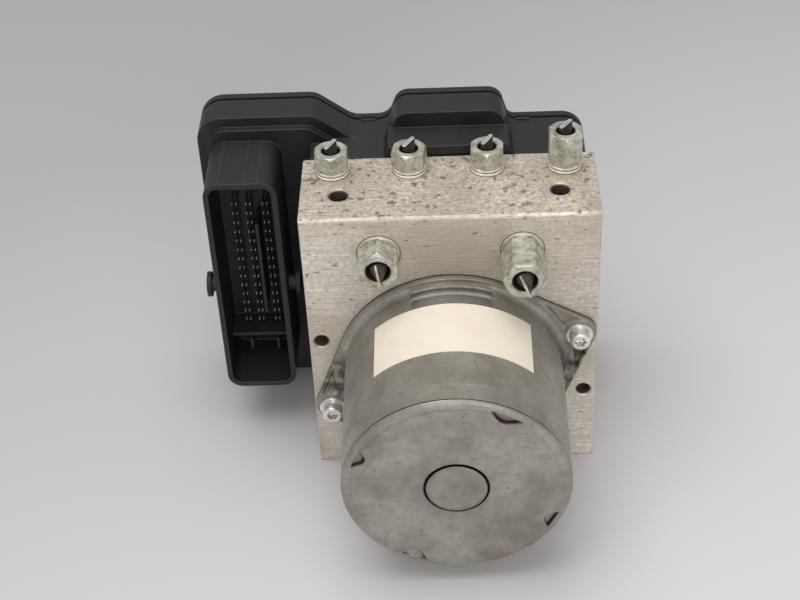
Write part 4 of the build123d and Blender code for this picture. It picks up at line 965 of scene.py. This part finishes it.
# %% Nuts on their ports
OUTLET_PIPE, INLET_PIPE = 2.375, 3.0
OUTLET_FOOT = [(5.6, 0.0), (5.8, 0.15), (5.8, 0.75), (5.6, 0.95), (5.15, 1.0), (5.15, 1.2),
               (5.5, 1.25), (5.6, 1.35), (5.6, 1.9), (5.4, 2.05), (5.0, 2.1)]
INLET_FOOT = [(7.0, 0.0), (7.1, 0.1), (7.1, 0.8), (6.9, 1.0), (6.7, 1.05), (6.4, 1.1)]
OUTLET_NUT = {"flats": 11.0, "foot": OUTLET_FOOT, "shank": 4.95, "mouth": 3.25,
              "pipe": OUTLET_PIPE, "brightened": len(OUTLET_FOOT), "groove": (5, 6)}
INLET_NUT = {"flats": 13.0, "foot": INLET_FOOT, "shank": 5.95, "mouth": 4.2,
             "pipe": INLET_PIPE, "brightened": 3, "groove": ()}
OUTLET_HEIGHTS, INLET_HEIGHTS = (8.9, 8.9, 8.9, 14.2), (10.3, 17.4)
outlet_places = [Matrix.Translation((x, OUTLET_Y, BLOCK_TOP)) for x in OUTLET_XS]
inlet_places = [facing_front(x, z) for x, z in INLETS]
outlets = list(zip(outlet_places, OUTLET_HEIGHTS, (0, -12, -2, 0)))
inlets = list(zip(inlet_places, INLET_HEIGHTS, (0, 30)))
for name, node, shape, seats in (
        ("outlet_nuts", "short_outlet_nuts", OUTLET_NUT, outlets[:3]),
        ("tall_outlet_nut", "long_outlet_nut", OUTLET_NUT, outlets[3:]),
        ("near_inlet_nut", "short_inlet_nut", INLET_NUT, inlets[:1]),
        ("far_inlet_nut", "long_inlet_nut", INLET_NUT, inlets[1:])):
    mesh = bmesh.new()
    for place, height, turn in seats:
        add_nut(mesh, place, height, math.radians(turn), **shape)
    # plain zinc, the collar's painted highlight, and painted shade in the groove and mouth
    finish_piece(name, mesh, [nut_finish, collar_highlight_finish, crease_dirt_and_shade_finish], [node])

# %% [markdown]
# ## Pinched pipe ends
#
# The pipes were cut off with side cutters, which squeezed each end to a flat blade with a bright,
# slanting cut and a dark slit where the bore closed. Pressing a tube flat in a simulation would be
# slow for such small ends, so the rings go from a circle to a flat oval over the last millimetres.

# %% Shape of a pinched end
PIPE_STEPS, PINCH_RINGS, PINCH_LENGTH = 64, 10, 5.0


def add_pipe(mesh, place, tip, turn, *, radius, start, half_cut, slant):
    """Add a pipe that stands up from place and ends in a bar 2 half_cut thick at height tip."""
    tilt = math.tan(math.radians(slant))

    def section(flat, height, wide=1.0, thin=1.0, leaning=1.0):
        """A ring between a circle (flat 0) and the flat oval (flat 1), scaled by wide and thin."""
        points = []
        power = 1 - 0.6 * flat
        for step in range(PIPE_STEPS):
            angle = 2 * math.pi * step / PIPE_STEPS
            c, v = math.cos(angle), math.sin(angle)
            u = radius * (1 + 0.26 * flat) * wide * math.copysign(abs(c) ** power, c)
            v = (radius + (half_cut - radius) * flat) * thin * math.copysign(abs(v) ** power, v)
            x = u * math.cos(turn) - v * math.sin(turn)
            y = u * math.sin(turn) + v * math.cos(turn)
            points.append(Vector((x, y, height - leaning * tilt * u)))
        return points

    rings = [section(0.0, start, leaning=0.0), section(0.0, tip - PINCH_LENGTH, leaning=0.0)]
    for part in range(1, PINCH_RINGS + 1):
        t = part / PINCH_RINGS
        rings.append(section(smooth_step(t * 1.1), tip - PINCH_LENGTH + 4.8 * t, leaning=t ** 3))
    rings.append(section(1.0, tip - 0.08))
    cut_from = len(rings) - 1
    rings += [section(1.0, tip, 0.97, 0.9), section(1.0, tip, 0.8, 0.12),
              section(1.0, tip - 0.3, 0.78, 0.06)]
    bands = [1 if band >= cut_from else 0 for band in range(len(rings))]
    add_rings(mesh, rings, place, bands, loop=False)


# %% Pipe ends in their nuts
OUTLET_END = {"radius": OUTLET_PIPE, "start": -8.0, "half_cut": 0.78, "slant": -5.0}
INLET_END = {"radius": INLET_PIPE, "start": -9.0, "half_cut": 0.4, "slant": -20.0}
# the outlet pipes' sides are dark from their coat and from painted shade
for kind, seats, turns, rise, shape, finishes in (
        ("outlet", outlets, (57, 55, 57, 49), 2.5, OUTLET_END,
         [outlet_pipe_coat_and_shade_finish, screw_finish]),
        ("inlet", inlets, (-79, -64), 2.6, INLET_END, [pipe_finish, nut_finish])):
    for number, ((place, height, _), turn) in enumerate(zip(seats, turns), 1):
        mesh = bmesh.new()
        add_pipe(mesh, place, height + rise, math.radians(turn), **shape)
        finish_piece(f"{kind}_stub_{number}", mesh, finishes,
                     [f"{kind}_pipe_{number}"])

# %% [markdown]
# ## Motor screws
#
# Two zinc screws with a washer rolled on hold the can. The socket is a six-lobed star: a cosine
# added to a ring's radius gives its lobes, so it needs no separate cutter.

# %% Motor screws
SCREW_STEPS, SOCKET_RADIUS, SOCKET_LOBE = 72, 1.85, 0.3
SCREW = [(2.45, -8.0), (2.45, 2.6), (4.55, 2.6), (4.7, 2.75), (4.7, 3.55), (4.5, 3.8),
         (3.6, 3.85), (3.45, 4.0), (3.45, 7.1), (3.3, 7.45), (2.95, 7.65), (2.4, 7.68)]


def star(angle):
    """Radius of the six-lobed socket."""
    return SOCKET_RADIUS + SOCKET_LOBE * math.cos(6 * angle)


mesh = bmesh.new()
for x, z in EARS:
    rings = [ring(SCREW_STEPS, r, height) for r, height in SCREW]
    rings += [ring(SCREW_STEPS, star, 7.6), ring(SCREW_STEPS, lambda a: star(a) * 0.95, 5.3),
              ring(SCREW_STEPS, 0.5, 4.9)]
    add_rings(mesh, rings, facing_front(x, MOTOR_HEIGHT + z), loop=False)
finish_piece("can_screws", mesh, [screw_finish], ["motor_screws"])

# %% [markdown]
# ## Threads in the tapped holes
#
# Two holes in the top and two in the front hold the module to its bracket. The solids have smooth
# bores, so each gets a thin closed sleeve whose inner wall is the thread: its radius goes in and
# out once a turn and once a pitch, which makes a true helix without a separate sweep. The sleeve's
# dark finish is painted shade inside the holes, with some dirt.

# %% Threads
THREAD_STEPS, PER_TURN, THREAD_TOP = 40, 6, -0.7


def add_thread(mesh, place, radius, pitch, depth):
    """Add a threaded sleeve that lines a bore down from place."""
    def crest(height):
        def inner(angle):
            phase = (height / pitch + angle / (2 * math.pi)) % 1.0
            return radius - 0.05 - 0.5 * pitch * (1 - abs(2 * phase - 1))
        return inner

    count = int(depth / pitch * PER_TURN)
    wall = radius - 0.04
    rings = [ring(THREAD_STEPS, wall, THREAD_TOP)]
    rings += [ring(THREAD_STEPS, crest(pitch * n / PER_TURN), THREAD_TOP - pitch * n / PER_TURN)
              for n in range(count)]
    rings.append(ring(THREAD_STEPS, wall, THREAD_TOP - pitch * count / PER_TURN))
    add_rings(mesh, rings, place)


TOP_THREAD = {"radius": 3.35, "pitch": 1.25, "depth": 14.0}
FRONT_THREAD = {"radius": 2.55, "pitch": 1.0, "depth": 10.5}
mesh = bmesh.new()
for x in (-37.1, 37.1):
    add_thread(mesh, Matrix.Translation((x, -3.55, BLOCK_TOP)), **TOP_THREAD)
for x, z in ((-45.7, 57.2), (45.7, 31.8)):
    add_thread(mesh, facing_front(x, z), **FRONT_THREAD)
finish_piece("bore_threads", mesh, [bore_shade_finish], [])

# %% [markdown]
# ## Plug pins
#
# Fourteen rows of thin pins in three double columns stand in the shroud, all the same: square, with
# a tip that narrows. The shafts get painted shade and the tips a painted highlight. This is what
# Geometry Nodes are for. The base mesh has one point for each column, a line of points makes the
# rows, and one pin is placed on every point.

# %% Node group: one pin
def socket_id(tree, name):
    """The identifier of a named input, which is what a modifier is set by."""
    return next(item.identifier for item in tree.interface.items_tree
                if item.item_type == "SOCKET" and item.in_out == "INPUT" and item.name == name)


def geometry(kind, inputs=None):
    """Add a geometry node to the group of pins."""
    return add_node(pins, "GeometryNode" + kind, inputs)


TIP_LENGTH = 0.9
CORNER, TIP_CORNER = 0.7071, 0.3  # a square's half diagonal in sides, at the shaft and at the tip
pins = bpy.data.node_groups.new("pin_columns", "GeometryNodeTree")
pins.interface.new_socket("Geometry", in_out="INPUT", socket_type="NodeSocketGeometry")
for name, kind in (("Rows", "NodeSocketInt"), ("Pitch", FLOAT), ("Side", FLOAT),
                   ("Length", FLOAT), ("Finish", "NodeSocketMaterial"),
                   ("Tip Finish", "NodeSocketMaterial")):
    pins.interface.new_socket(name, in_out="INPUT", socket_type=kind)
pins.interface.new_socket("Geometry", in_out="OUTPUT", socket_type="NodeSocketGeometry")
given = add_node(pins, "NodeGroupInput").outputs
half_side = calc(pins, "MULTIPLY", given["Side"], CORNER)
tip_side = calc(pins, "MULTIPLY", given["Side"], TIP_CORNER)
shaft = geometry("MeshCone", {"Vertices": 4, "Radius Top": half_side,
                              "Radius Bottom": half_side, "Depth": given["Length"]})
tip = geometry("MeshCone", {"Vertices": 4, "Radius Top": half_side, "Radius Bottom": tip_side,
                            "Depth": TIP_LENGTH * MM})
tip_below = geometry("Transform", {"Geometry": tip.outputs["Mesh"],
                                   "Translation": (0, 0, -TIP_LENGTH * MM)})
# painted shade on the shafts and a painted highlight on the tips
shaded_shaft = geometry("SetMaterial", {"Geometry": shaft.outputs["Mesh"],
                                      "Material": given["Finish"]})
highlit_tip = geometry("SetMaterial", {"Geometry": tip_below.outputs[0],
                                      "Material": given["Tip Finish"]})
pin = geometry("JoinGeometry")
pins.links.new(shaded_shaft.outputs[0], pin.inputs[0])
pins.links.new(highlit_tip.outputs[0], pin.inputs[0])
squared = geometry("Transform", {"Geometry": pin.outputs[0], "Rotation": (0, 0, math.pi / 4)})
turned = geometry("Transform", {"Geometry": squared.outputs[0], "Rotation": (-math.pi / 2, 0, 0)})
print("one pin:", len(pins.nodes), "nodes")

# %% Node group: one pin on every place
step = add_node(pins, "ShaderNodeCombineXYZ", {"Z": given["Pitch"]}).outputs[0]
rows = geometry("MeshLine", {"Count": given["Rows"], "Offset": step})
columns = geometry("InstanceOnPoints", {"Points": given["Geometry"],
                                        "Instance": rows.outputs["Mesh"]})
places = geometry("RealizeInstances", {"Geometry": columns.outputs[0]})
field = geometry("InstanceOnPoints", {"Points": places.outputs[0], "Instance": turned.outputs[0]})
solid = geometry("RealizeInstances", {"Geometry": field.outputs[0]})
result = add_node(pins, "NodeGroupOutput")
pins.links.new(solid.outputs[0], result.inputs[0])
print("pin group:", len(pins.nodes), "nodes")

# %% Plug pins
PIN_TIP, BOARD_FRONT, LOWEST_ROW, TWIN = 18.75, 35.55, 38.0, 1.5
ROWS, ROW_PITCH, PIN_SIDE = 14, 4.05, 0.62
column_xs = [x + twin for x in (-76.9, -72.0, -66.0) for twin in (0.0, TWIN)]
seeds = bpy.data.meshes.new("pin_seeds")
seeds.from_pydata([Vector((x, PIN_TIP + TIP_LENGTH, LOWEST_ROW)) * MM for x in column_xs], [], [])
plug_pins = link_piece("plug_pins", seeds)
modifier = plug_pins.modifiers.new("pins", "NODES")
modifier.node_group = pins
# the shafts' finish is painted shade, and the bright zinc of the tips a painted highlight
for name, value in (("Rows", ROWS), ("Pitch", ROW_PITCH * MM), ("Side", PIN_SIDE * MM),
                    ("Length", (BOARD_FRONT - PIN_TIP - TIP_LENGTH) * MM), ("Finish", pin_shade_finish),
                    ("Tip Finish", screw_finish)):
    modifier[socket_id(pins, name)] = value
bpy.context.view_layer.update()
evaluated = plug_pins.evaluated_get(bpy.context.evaluated_depsgraph_get())
pin_mesh = bpy.data.meshes.new_from_object(evaluated)
plug_pins.modifiers.remove(modifier)
plug_pins.data = pin_mesh
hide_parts("signal_pins")
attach(plug_pins, "module")
print("plug pins:", len(pin_mesh.polygons), "faces, from",
      [round(v / MM, 2) for v in plug_pins.bound_box[0]], "to",
      [round(v / MM, 2) for v in plug_pins.bound_box[6]])

# %% [markdown]
# ## Springs
#
# Each pump and accumulator piston squeezes a spring, whose far end stays in the block. A rigid coil
# would be cut by its piston when that moves. The imported coils are copied, their loose triangles
# are merged and shaded smooth, and the copies take the place of the imported ones.

# %% Copies of the springs, merged and shaded smooth
# ends of the right-hand spring: in the block, and at the piston
SPRING_ENDS = {"pump": ((41.0, -3.75, 44.5), (26.0, -3.75, 44.5)),
               "accumulator": ((27.0, 0.0, 2.5), (27.0, 0.0, 18.4))}
WELD = 1e-7
for kind, ends in SPRING_ENDS.items():
    for hand, side in (("left", -1), ("right", 1)):
        node = f"{kind}_spring_{hand}"
        coil = frame["nodes"][node].data.copy()
        work = bmesh.new()
        work.from_mesh(coil)
        bmesh.ops.remove_doubles(work, verts=work.verts, dist=WELD)
        work.to_mesh(coil)
        work.free()
        coil.name = f"{node}_coil"
        coil.shade_smooth()
        spring = link_piece(f"{node}_coil", coil)
        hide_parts(node)
        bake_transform(spring)
        print(spring.name, len(coil.polygons), "faces")

# %% [markdown]
# ## Floor
#
# The module stands on a wide pale board, with painted light that makes it a little brighter towards
# its right and its front. An image could give that gradient, but a ramp over the floor's own
# coordinates is enough. Only the camera sees it: the light that bounces off the board is that of an
# even pale one, so it can't tint the metal. The board sets the scene and isn't part of the module.

# %% Floor
FLOOR_HALF, FLOOR_GAP = 6.0, 0.2
floor_mesh = bpy.data.meshes.new("floor")
floor_mesh.from_pydata([(x * FLOOR_HALF, y * FLOOR_HALF, 0) for x, y in
                        ((-1, -1), (1, -1), (1, 1), (-1, 1))], [], [(0, 1, 2, 3)])
floor = link_piece("floor", floor_mesh)
floor.location.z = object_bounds()[0][2] - FLOOR_GAP * MM
floor_material, tree, shader, where = finish("pale_floor", Roughness=0.6)
place = add_node(tree, "ShaderNodeSeparateXYZ", {0: where}).outputs
across = calc(tree, "SUBTRACT", place["X"], place["Y"])
# painted light: the floor seen by the camera grows brighter towards the right and the front
backdrop = mix(tree, ramp(tree, across, -0.36, 0.18), colour(171, 169, 170),
               colour(201, 199, 199))
seen = add_node(tree, "ShaderNodeLightPath").outputs["Is Camera Ray"]
wire(shader, Base_Color=mix(tree, seen, colour(222, 220, 218), backdrop))
floor_mesh.materials.append(floor_material)
print("floor:", round(floor.location.z / MM, 2), "mm high")
